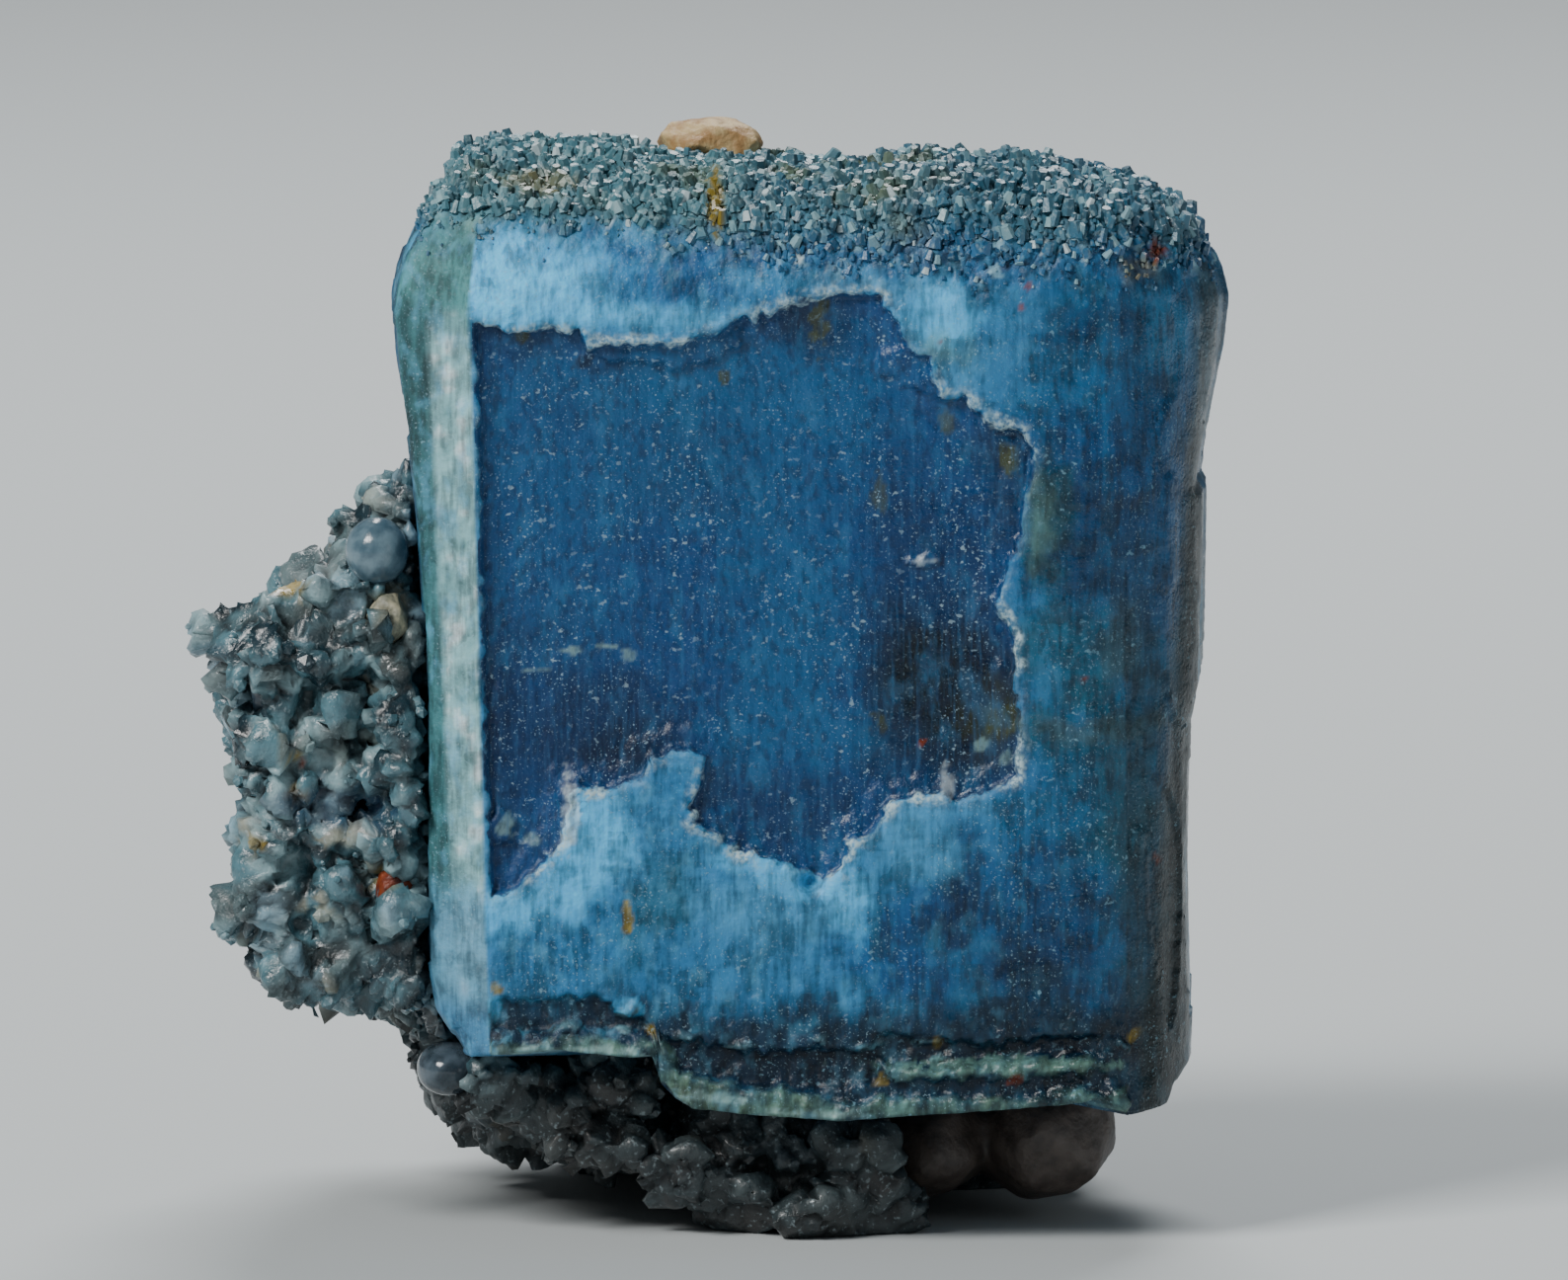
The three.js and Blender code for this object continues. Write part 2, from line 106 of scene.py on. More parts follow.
print("smooth noise at three points:", rough(np.eye(3), 0.7, 1).round(2))

# %% [markdown]
# Cell noise knows the distance to scattered seeds and gives sugar grains and facets. A ramp turns
# any such number into a mask from 0 to 1 with a smooth slope.

# %% Cell noise
def ramp(value, low, high):
    """0 below low, 1 above high, and a smooth slope between."""
    t = np.clip((value - low) / (high - low), 0, 1)
    return t * t * (3 - 2 * t)


def cells(points, size, seed=0):
    """For each point: distances to the two nearest scattered seeds and the way from the nearest,
    all in units of size, and a random number that belongs to the nearest."""
    p = points / size
    base = np.floor(p).astype(np.int64)
    near = np.full(len(p), np.inf)
    far = np.full(len(p), np.inf)
    number = np.zeros(len(p))
    way = np.zeros_like(p)
    for step in product((-1, 0, 1), repeat=3):
        cell = base + np.array(step)
        spot = cell + np.stack([scramble(cell, seed + k) for k in range(3)], axis=-1)
        gap = np.linalg.norm(p - spot, axis=-1)
        closer = gap < near
        far = np.where(closer, near, np.minimum(far, gap))
        number = np.where(closer, scramble(cell, seed + 5), number)
        way = np.where(closer[:, None], p - spot, way)
        near = np.where(closer, gap, near)
    return near, far, way, number


def facets(points, size, seed=0, lean=0.6, crack=0.16):
    """Relief of angular grains in units of size: flat tops that lean at random, cracks between."""
    near, far, way, number = cells(points, size, seed)
    turn = number * 40.0
    tilt = way[:, 0] * np.sin(turn) + way[:, 1] * np.cos(turn * 1.3) + way[:, 2] * np.sin(turn * 1.7)
    gap = ramp(far - near, 0, crack)
    return (tilt * lean + 0.5 * number) * gap - 0.35 * (1 - gap), gap, number


print("nearest seeds of three points:", cells(np.eye(3), 0.7, 1)[0].round(2))

# %% [markdown]
# The crystal's front has a ragged window: a pale, cloudy outer layer has flaked away there and
# shows the clear deep blue inside. The rim of such a window is an outline, so the tool that is
# needed is a signed distance: how far a point lies inside (positive) or outside (negative).

# %% Signed distance to an outline
def inside(x, z, outline):
    """Distance to the outline in mm, positive for points inside it."""
    pts = np.array(outline, float)
    nxt = np.roll(pts, -1, axis=0)
    best = np.full(len(x), np.inf)
    odd = np.zeros(len(x), bool)
    for (ax, az), (bx, bz) in zip(pts, nxt):
        dx, dz = bx - ax, bz - az
        t = np.clip(((x - ax) * dx + (z - az) * dz) / (dx * dx + dz * dz), 0, 1)
        best = np.minimum(best, np.hypot(x - ax - t * dx, z - az - t * dz))
        crosses = (az > z) != (bz > z)
        odd ^= crosses & (x < ax + (z - az) * dx / (dz if dz else 1e-9))
    return np.where(odd, best, -best)


SQUARE = [(0, 0), (1, 0), (1, 1), (0, 1)]
print("the middle of a unit square is inside by", inside(np.array([0.5]), np.array([0.5]), SQUARE))

# %% [markdown]
# The outlines follow the real rim and the real foot, in x and height from the crystal's zero.

# %% Outlines on the front face
WINDOW = [
    (-3.6, 13.31), (-3.3, 13.26), (-2.99, 13.12), (-2.46, 13.22), (-2.06, 13.21), (-1.9, 12.95),
    (-1.33, 13.03), (-0.63, 12.95), (0.14, 13.33), (0.49, 13.34), (0.91, 13.57), (1.61, 13.71),
    (2.25, 13.66), (2.46, 13.33), (2.57, 12.95), (2.95, 12.8), (2.88, 12.49), (3.05, 12.27),
    (3.41, 12.17), (3.79, 11.84), (4.14, 11.73), (4.42, 11.47), (4.25, 10.57), (4.11, 9.93),
    (3.83, 9.27), (4.11, 8.73), (4.2, 7.53), (4.11, 6.82), (3.79, 6.61), (3.27, 6.44),
    (2.67, 6.57), (2.39, 6.44), (2.11, 6.01), (1.78, 5.79), (1.73, 5.48), (1.33, 5.31),
    (0.91, 5.53), (0.14, 5.73), (-0.42, 6.1), (-0.49, 6.4), (-0.27, 7.03), (-0.63, 7.15),
    (-1.08, 7.03), (-1.19, 6.75), (-1.61, 6.61), (-2.25, 6.61), (-2.32, 5.9), (-2.67, 5.48),
    (-2.95, 5.19), (-3.36, 5.11),
]
# Leaves of the outer layer that stayed at the rim: thickness and outline.
WINDOW_LEAVES = [
    (0.07, [(-2.05, 13.1), (-1.7, 12.75), (-1.2, 12.72), (-0.6, 12.55), (0.2, 12.9), (0.1, 13.4)]),
    (0.07, [(2.49, 9.81), (2.67, 9.93), (3.02, 9.92), (2.99, 9.81), (2.74, 9.72)]),
    (0.08, [(2.6, 13.0), (2.95, 12.85), (3.1, 12.2), (2.5, 12.35), (2.1, 12.6), (2.2, 12.9)]),
    (0.08, [(-3.4, 6.1), (-3.2, 6.35), (-3.0, 6.2), (-3.05, 5.85), (-3.3, 5.8)]),
    (0.08, [(-2.45, 6.7), (-2.1, 6.8), (-2.0, 6.2), (-2.2, 5.8), (-2.4, 6.1)]),
]
# At the broken foot, hollows lie behind the face and lips stand proud of it.
FOOT_HOLLOWS = [
    [(-0.88, 3.12), (-0.3, 3.05), (0.3, 2.86), (0.95, 2.85), (1.9, 2.92), (2.2, 3.12),
     (3.0, 3.12), (3.7, 2.92), (4.6, 3.08), (5.4, 3.12), (5.45, 2.78), (3.4, 2.68), (2.2, 2.64),
     (2.1, 2.36), (0.9, 2.3), (-0.2, 2.44), (-0.86, 2.72)],
    [(-3.7, 3.6), (-1.9, 3.62), (-1.3, 3.36), (-1.05, 3.14), (-1.9, 3.16), (-3.7, 3.12)],
]
FOOT_LIPS = [
    [(-3.72, 3.04), (-3.9, 2.6), (-2.46, 2.7), (-1.33, 2.6), (-1.0, 2.6), (-0.95, 3.12),
     (-1.5, 3.02), (-2.1, 3.1), (-3.0, 3.0)],
    [(-0.98, 3.1), (-0.98, 2.5), (-0.75, 2.2), (-0.49, 1.9), (0.35, 1.8), (1.6, 1.7), (3.7, 1.8),
     (4.84, 1.9), (5.7, 1.9), (5.72, 2.3), (4.6, 2.26), (3.2, 2.2), (1.5, 2.16), (0.9, 2.3),
     (0.3, 2.35), (-0.2, 2.42), (-0.6, 2.62), (-0.8, 3.0)],
    [(2.2, 2.62), (2.25, 2.4), (3.6, 2.46), (5.1, 2.52), (5.5, 2.6), (5.4, 2.74), (4.2, 2.72),
     (3.4, 2.66)],
]
# Small ledges between them: x, height and half width.
FOOT_LEDGES = [
    (-3.52, 3.5, 0.17), (-2.35, 3.2, 0.2), (-1.9, 3.05, 0.16), (-1.35, 3.42, 0.22), (-1.5, 3.2, 0.14),
    (-0.65, 3.14, 0.2), (0.25, 2.95, 0.22), (1.3, 3.0, 0.14), (2.05, 2.95, 0.2), (2.9, 3.02, 0.16),
    (3.05, 2.75, 0.14), (5.75, 2.95, 0.18), (2.3, 2.62, 0.16),
]
print("window outline points:", len(WINDOW))

# %% [markdown]
# The prism is drawn as a stack of level cross-sections, the way a crystal grows layer on layer.
# Each section is the same flattened hexagon with its left front edge bevelled, and only its
# left and right ends follow the slightly bulging outline. Rows of points up the height and
# columns round the section give one clean closed mesh, fine on the front face that is looked
# at most and coarser behind, which a plain voxel remesh could not do.

# %% The prism's cross-section
# Left and right ends of the section: height and x.
LEFT_EDGE = [(2.72, -3.72), (3.36, -4.14), (4.1, -4.27), (5.2, -4.3), (7.8, -4.28), (9.2, -4.34),
             (10.4, -4.42), (11.6, -4.56), (12.5, -4.7), (13.4, -4.76), (14.6, -4.73), (15.4, -4.5)]
RIGHT_EDGE = [(1.9, 6.42), (2.26, 6.5), (2.47, 6.67), (3.5, 6.7), (5.5, 6.66), (7.4, 6.71),
              (7.9, 6.86), (10.6, 6.89), (10.78, 6.78), (11.2, 6.84), (11.9, 6.98), (12.7, 7.13),
              (13.4, 7.2), (14.07, 7.12), (14.5, 6.95), (15.4, 6.6)]
# Foot and crest of the prism: x and height.
FOOT_EDGE = [(-4.3, 3.4), (-4.1, 3.25), (-3.72, 2.74), (-3.3, 2.82), (-2.46, 2.9), (-1.33, 2.78),
             (-1.06, 2.84), (-0.98, 2.62), (-0.93, 2.4), (-0.75, 2.2), (-0.49, 2.05), (0.35, 1.96),
             (1.6, 1.87), (3.7, 2.01), (4.84, 2.1), (5.5, 2.2), (5.78, 1.92), (6.46, 2.0),
             (6.7, 2.4)]
TOP_CREST = [(-4.7, 14.7), (-4.2, 15.05), (-3.5, 15.35), (-1.5, 15.35), (-1.1, 15.12), (0.6, 15.0),
             (2.0, 14.95), (3.2, 15.05), (4.6, 15.1), (4.85, 14.85), (6.0, 14.7), (6.6, 14.45), (7.1, 13.9)]
# Slopes of the top: a point on each and the way that it faces.
TOP_SLOPES = [((0, 0, 14.62), (0, -0.28, 0.96)), ((1.2, 6.3, 14.6), (0, 0.3, 0.95)),
              ((-4.4, 0, 14.9), (-0.5, -0.1, 0.86)), ((7.1, 0, 13.7), (0.86, -0.3, 0.4))]
MEASURED_AT = 9.0  # height at which the two front edges were measured
FRONT_LEFT, FRONT_RIGHT = -3.5, 5.83
LEFT_DRIFT, RIGHT_DRIFT = -0.024, -0.0046  # how far each front edge moves over 1 mm of height
FAR_LEFT, FAR_RIGHT, SIDE_Y = -4.45, 6.85, 4.3  # where the sides turn towards the back
BACK_Y = 6.3
TAN_30, TAN_60 = 0.5 / 0.866, 1.732


def edge(table, at):
    """Read a table of two columns at any places between its rows."""
    return np.interp(at, [a for a, _ in table], [b for _, b in table])


def section(z):
    """The eight corners of the cross-section at each height, as x and y arrays."""
    left, right = edge(LEFT_EDGE, z), edge(RIGHT_EDGE, z)
    front_left = FRONT_LEFT + LEFT_DRIFT * (z - MEASURED_AT)
    front_right = FRONT_RIGHT + RIGHT_DRIFT * (z - MEASURED_AT)
    bevel_y = TAN_30 * (front_left - left)
    face_y = TAN_60 * (right - front_right)
    left_y = SIDE_Y + TAN_60 * (left - FAR_LEFT)
    right_y = SIDE_Y - TAN_60 * (right - FAR_RIGHT)
    flat = np.zeros_like(z)
    back_left = flat + FAR_LEFT + (BACK_Y - SIDE_Y) / TAN_60
    back_right = flat + FAR_RIGHT - (BACK_Y - SIDE_Y) / TAN_60
    xs = [front_left, front_right, right, right, back_right, back_left, left, left]
    ys = [flat, flat, face_y, right_y, flat + BACK_Y, flat + BACK_Y, left_y, bevel_y]
    return np.array(xs), np.array(ys)


def top_height(x, y):
    """Height of the top: the lowest of its slopes, and nowhere above its crest."""
    height = edge(TOP_CREST, x)
    for (px, py, pz), (nx, ny, nz) in TOP_SLOPES:
        height = np.minimum(height, pz - ((x - px) * nx + (y - py) * ny) / nz)
    return height


measured = np.array(section(np.array([MEASURED_AT])))[:, :, 0]
print("section where it was measured, x and y:", measured.round(2).tolist())

# %% [markdown]
# Worn corners aren't sharp, so each gets a rounding of its own. The columns of points are shared
# out over the eight sides, and most of them go to the front.

# %% Columns and rounded corners
COLUMNS = {"front": 236, "right face": 24, "right side": 14, "back right": 8, "back": 24,
           "back left": 8, "left side": 18, "bevel": 18}
FACE = {title: number for number, title in enumerate(COLUMNS)}
SIDES = len(COLUMNS)
ROUNDING = np.array([0.12, 1.5, 0.9, 0.5, 0.5, 0.5, 0.5, 0.3])  # reach of each corner's rounding, in mm
LONGEST_REACH = 0.48  # of a side, so that two roundings never meet


def rounding(corners, at, distance):
    """Shift that rounds a corner off: a parabola that touches both of its sides."""
    pick = np.arange(len(at))
    onward = corners[(at + 1) % SIDES, pick] - corners[at, pick]
    back = corners[(at - 1) % SIDES, pick] - corners[at, pick]
    onward_length = np.linalg.norm(onward, axis=-1)
    back_length = np.linalg.norm(back, axis=-1)
    reach = np.minimum(ROUNDING[at], LONGEST_REACH * np.minimum(onward_length, back_length))
    share = np.clip(1 - distance / reach, 0, 1) ** 2
    both = onward / onward_length[:, None] + back / back_length[:, None]
    return (0.25 * reach * share)[:, None] * both


def column_stops():
    """For each column: the corner it starts from and how far it is to the next corner."""
    corner, part = [], []
    for i, count in enumerate(COLUMNS.values()):
        corner += [i] * count
        part += [k / count for k in range(count)]
    return np.array(corner), np.array(part)


CORNER, PART = column_stops()
AROUND = len(CORNER)
print("columns round the prism:", AROUND)


# %% [markdown]
# The relief comes next. Every point is pushed square to the face it lies on. On the front the
# push is the sum of what happened to the real crystal: a layer flaked off, thin leaves of it
# stayed, the foot broke into lips, growth left upright grooves, and the top ended in a crust of
# tiny crystals. Each is a term of its own, so each can be changed alone.

# %% Masks on the front face
def covered(x, z, outlines, soft):
    """How surely a point lies in one of the outlines: 0 outside, 1 beyond a soft edge."""
    share = np.zeros_like(x)
    for outline in outlines:
        share = np.maximum(share, ramp(inside(x, z, outline), -0.02, soft))
    return share


def on_ledge(p, x, z):
    """How surely a point lies on one of the small ledges."""
    torn = rough(p, 0.16, 45, 3)
    share = np.zeros_like(x)
    for centre_x, centre_z, half in FOOT_LEDGES:
        far = np.hypot((x - centre_x) / half, (z - centre_z) / (0.3 * half))
        share = np.maximum(share, 1 - ramp(far + torn, 0.6, 1.2))
    return share


# %% Depth of the front face
LAYER = 0.26  # thickness of the flaked outer layer
LIP = 0.13  # how far the broken lips at the foot stand proud
LEDGE = 0.09  # how far a small ledge stands proud
HOLLOW = 0.14  # depth of the hollows at the foot
GROOVE = 0.014  # depth of the upright growth grooves
STEP, STEPS_FROM = 0.012, 4.2  # height of a growth step, and the x from which steps show
PIT, PIT_HALF, PIT_DEPTH = (1.2, 5.28), (0.16, 0.14), 0.3


def front_depth(x, z):
    """How far the surface lies behind the plane of the front face, and what each part is."""
    p = np.stack([x, np.zeros_like(x), z], axis=-1)
    wx = x + 0.08 * rough(p, 0.45, 11) + 0.05 * cloud(p, 0.13, 12)
    wz = z + 0.08 * rough(p, 0.45, 21) + 0.06 * cloud(p, 0.13, 22)
    in_window = inside(wx, wz, WINDOW)
    terrace = 0.14 + 0.1 * rough(p, 0.9, 31)
    ragged = 0.012 * rough(p, 0.1, 33, 2)
    depth = LAYER * (0.72 * ramp(in_window, -0.04, 0.07) + 0.28 * ramp(in_window - terrace, 0, 0.3))
    depth += ragged * (1 + 2 * ramp(0.25 - np.abs(in_window), 0, 0.2))
    for rise, outline in WINDOW_LEAVES:
        depth -= rise * ramp(inside(wx, wz, outline), -0.03, 0.03) * ramp(in_window, -0.1, 0)
    hollow = covered(wx, wz, FOOT_HOLLOWS, 0.06)
    lip = covered(wx, wz, FOOT_LIPS, 0.05)
    foot = ramp(4.0 - z, 0, 0.8)
    depth += HOLLOW * hollow - LIP * lip * (1 + 0.5 * rough(p, 0.2, 41))
    depth += foot * (0.05 * rough(p * np.array([1, 1, 0.4]), 0.22, 43, 3) + 0.03 * cloud(p, 0.1, 44))
    ledge = on_ledge(p, wx, wz)
    depth -= LEDGE * ledge
    groove_p = np.stack([x, np.zeros_like(x), z * 0.06], axis=-1)
    groove = rough(groove_p, 0.22, 51, 3)
    steps = np.floor(3 * rough(groove_p * np.array([1, 1, 3]), 0.7, 61, 2))
    band = ramp(z, 13.7, 14.7)
    depth += GROOVE * groove * (1 - 0.6 * band) - STEP * steps * (x > STEPS_FROM)
    pit = np.exp(-(((x - PIT[0]) / PIT_HALF[0]) ** 2 + ((z - PIT[1]) / PIT_HALF[1]) ** 2))
    depth += PIT_DEPTH * pit
    masks = {"rim": in_window, "hollow": hollow, "lip": lip, "ledge": ledge}
    return depth, masks


one_depth, _ = front_depth(np.zeros(1), np.full(1, MEASURED_AT))
print("depth at one place in the window, mm:", one_depth.round(3))

# %% [markdown]
# The crust of tiny crystals is relief too: angular grains of two sizes, one over the other.

# %% Relief of the crust
BIG_GRAIN, SMALL_GRAIN = 0.42, 0.19  # sizes of the crust's grains, in mm
BIG_SEED, SMALL_SEED = 71, 80


def sugar(p):
    """Relief of a crust of tiny crystals, in mm."""
    big, _, _ = facets(p, BIG_GRAIN, BIG_SEED)
    small, _, _ = facets(p, SMALL_GRAIN, SMALL_SEED)
    return 0.3 * BIG_GRAIN * big + 0.4 * SMALL_GRAIN * small


# %% [markdown]
# Now the mesh. Rows of points go up from the foot to the crest and columns go round the section.
# Near the top the sides lean in, because the real shoulder is worn.

# %% Lay out the crystal's sides
ROWS = 246
FOOT_LEVEL = 2.4  # mean height of the broken foot
SHOULDER_FROM = 13.2  # height from which the sides lean in towards the top
SHOULDER = 0.2  # how strongly they lean in


def between_corners(values):
    """Values at the columns, from the values at the corners of the section."""
    cols = np.arange(AROUND)
    return values[CORNER, cols] * (1 - PART) + values[(CORNER + 1) % SIDES, cols] * PART


def side_points():
    """Points of the prism's sides as rows by columns, with outward directions and faces."""
    x0, y0 = [between_corners(values) for values in section(np.full(AROUND, MEASURED_AT))]
    foot_x, _ = section(np.full(AROUND, FOOT_LEVEL))
    low, high = edge(FOOT_EDGE, between_corners(foot_x)), top_height(x0, y0)
    z = (low + (high - low) * np.linspace(0, 1, ROWS)[:, None]).ravel()
    corners = np.stack(section(z), axis=-1)
    pick = np.arange(z.size)
    corner, part = np.tile(CORNER, ROWS), np.tile(PART, ROWS)
    start, end = corners[corner, pick], corners[(corner + 1) % SIDES, pick]
    length = np.linalg.norm(end - start, axis=-1)
    xy = start + (end - start) * part[:, None]
    xy += rounding(corners, corner, part * length)
    xy += rounding(corners, (corner + 1) % SIDES, (1 - part) * length)
    loop = xy.reshape(ROWS, AROUND, 2)
    along = (np.roll(loop, -1, axis=1) - np.roll(loop, 1, axis=1)).reshape(-1, 2)
    along /= np.linalg.norm(along, axis=-1, keepdims=True)
    out = np.column_stack([along[:, 1], -along[:, 0], np.zeros(len(along))])
    lean = SHOULDER * np.clip(z - SHOULDER_FROM, 0, None) ** 2
    return np.column_stack([xy, z]) - out * lean[:, None], out, corner


points, outward, corner_of = side_points()
print("points on the sides:", len(points))

# %% [markdown]
# Each point is then pushed along the way it faces. The front gets its depth, the other sides get
# grooves and growth steps, and the crust adds its grains where it covers the prism.

# %% Push the relief into the sides
# Lower edge of the crust: x and height.
CRUST_FROM = [(-5.0, 14.25), (-1.5, 14.15), (0.5, 13.75), (7.0, 13.55)]
SIDE_GROOVE, SIDE_STEP = 0.03, 0.045
EDGE_FADE = 0.06  # the front's depth fades out this close to its edges

x, y, z = points.T
front = corner_of == FACE["front"]
depth, masks = front_depth(x, z)
front_left, front_right = section(z)[0][:2]
fade = ramp(x - front_left, 0, EDGE_FADE) * ramp(front_right - x, 0, EDGE_FADE)
over_crust = z - edge(CRUST_FROM, x) + 0.5 * rough(points, 0.8, 81) + 0.3 * rough(points, 0.25, 82)
crust = ramp(over_crust, 0, 0.9)
side_push = SIDE_GROOVE * rough(points * np.array([1, 1, 0.05]), 0.35, 91, 3)
side_push += SIDE_STEP * np.floor(3 * rough(points * np.array([1, 1, 0.25]), 1.3, 95, 2))
push = np.where(front, -depth * fade, side_push)
push += sugar(points) * (0.05 + 0.95 * crust) + 0.006 * rough(points, 0.12, 99, 2)
rim_top = points[-AROUND:].copy()
rim_foot = points[:AROUND].copy()
points = points + outward * push[:, None]
print("front relief, mm:", round(float(depth.min()), 3), "to", round(float(depth.max()), 3))

# %% [markdown]
# Rings that shrink towards the middle close the top and the foot. The top follows its slopes and
# carries the crust. In the foot each column keeps a share of its own height, so the step stays sharp.

# %% Close the top and the foot
TOP_RINGS, FOOT_RINGS = 30, 4
MIDDLE = np.array([1.2, 3.2])
CRUST_LIFT = 0.05


def cap_points(rim, rings, height):
    """Rings of points that shrink from a rim to the middle, and one last point there. The height
    of a point follows from its place and its ring's share of the rim's size."""
    made = []
    for k in range(1, rings + 1):
        share = 1 - k / (rings + 1)
        xy = MIDDLE + (rim[:, :2] - MIDDLE) * share
        made.append(np.column_stack([xy, height(xy[:, 0], xy[:, 1], share)]))
    tip = np.array([[*MIDDLE, height(MIDDLE[:1], MIDDLE[1:], 0)[0]]])
    return np.vstack(made + [tip])


def crest_height(x, y, share):
    return top_height(x, y)


def foot_height(x, y, share):
    return FOOT_LEVEL + (rim_foot[:, 2] - FOOT_LEVEL) * share


top = cap_points(rim_top, TOP_RINGS, crest_height)
top[:, 2] += 1.15 * sugar(top) + 0.12 * rough(top, 0.9, 83) + CRUST_LIFT
points[-AROUND:, 2] += 0.5 * sugar(rim_top)
foot = cap_points(rim_foot, FOOT_RINGS, foot_height)
all_points = np.vstack([points, top, foot])
print("crystal points:", len(all_points))

# %% [markdown]
# Faces name their points by number. Quads join each row to the next, and a fan of triangles
# joins the last ring of each cap to the point in its middle.

# %% Join the points with faces
def grid_faces(rows, first=0):
    """Quads between rows of AROUND points that run round the prism."""
    i = np.arange(AROUND)
    j = (i + 1) % AROUND
    strip = np.column_stack([i, j, j + AROUND, i + AROUND]) + first
    return np.vstack([strip + r * AROUND for r in range(rows - 1)])


i = np.arange(AROUND)
j = (i + 1) % AROUND
top_first = len(points)
foot_first = top_first + len(top)
last_row = top_first - AROUND
top_tip, foot_tip = foot_first - 1, len(all_points) - 1
last_top, last_foot = top_tip - AROUND, foot_tip - AROUND
quads = [
    grid_faces(ROWS),
    np.column_stack([i + last_row, j + last_row, j + top_first, i + top_first]),
    grid_faces(TOP_RINGS, top_first),
    np.column_stack([j, i, i + foot_first, j + foot_first]),
    grid_faces(FOOT_RINGS, foot_first)[:, ::-1],
]
fans = [
    np.column_stack([i + last_top, j + last_top, np.full(AROUND, top_tip)]),
    np.column_stack([j + last_foot, i + last_foot, np.full(AROUND, foot_tip)]),
]
print("crystal faces:", sum(len(part) for part in quads + fans))

# %% [markdown]
# Colour comes next, and it is the heart of this stone. The real crystal is clear blue glass
# inside, with pale clouded skin, olive and rust-coloured specks, sugary whites and deep shadows
# between inner fractures. Each is placed where it lies as a stain: a centre, half sizes and a
# colour, with an edge made ragged by noise, so that no two look alike.

# %% Tools for painting
def tone(red, green, blue):
    """A colour from its 0 to 255 values, as the linear values that a render works with."""
    c = np.array([red, green, blue]) / 255
    return np.where(c <= 0.04045, c / 12.92, ((c + 0.055) / 1.055) ** 2.4)


def paint(base, colour, mask):
    """Lay a colour over another as strongly as the mask says."""
    m = np.clip(mask, 0, 1)[:, None]
    return base * (1 - m) + np.asarray(colour) * m


def blob(p, centre, half, seed, ragged=0.5, lean=0.0, soft=0.0):
    """A ragged ellipse on the front: 1 inside, 0 outside, with an edge as soft as asked."""
    dx, dz = p[:, 0] - centre[0], p[:, 2] - centre[1]
    turned_x = dx * math.cos(lean) + dz * math.sin(lean)
    turned_z = dz * math.cos(lean) - dx * math.sin(lean)
    far = np.hypot(turned_x / half[0], turned_z / half[1])
    grain = max(0.9 * min(half), 0.12)
    return 1 - ramp(far + ragged * rough(p, grain, seed), 0.75 - soft, 1.15 + soft)


def stain(look, p, areas, seed, ragged, soft=0.0, where=1.0):
    """Lay areas over a look, each with a seed of its own. An area may end in a lean."""
    for k, (shade, centre, half, strength, *lean) in enumerate(areas):
        mask = strength * blob(p, centre, half, seed + k, ragged, *lean, soft=soft) * where
        look = paint(look, shade, mask)
    return look


print("a middle grey as a render sees it:", tone(128, 128, 128).round(3))

# %% [markdown]
# The areas come from the real stone, from the large clouds down to single rusty specks. Later
# ones lie over earlier ones, as glazes do in a painting.

# %% Colours of the crystal
DEEP = tone(8, 68, 122)
CLOUD = tone(34, 102, 148)
SKIN = tone(66, 138, 182)
FROST = tone(88, 196, 252)
SNOW = tone(218, 232, 236)
NIGHT = tone(4, 16, 32)
PINE = tone(6, 24, 28)
OLIVE = tone(72, 76, 24)
AMBER = tone(138, 116, 0)
RUST = tone(124, 48, 0)
SEA = tone(30, 76, 88)
SAGE = tone(94, 132, 122)
MIST = tone(140, 174, 172)
NAVY = tone(6, 38, 78)
print("darkest and palest:", NIGHT.round(3), SNOW.round(3))

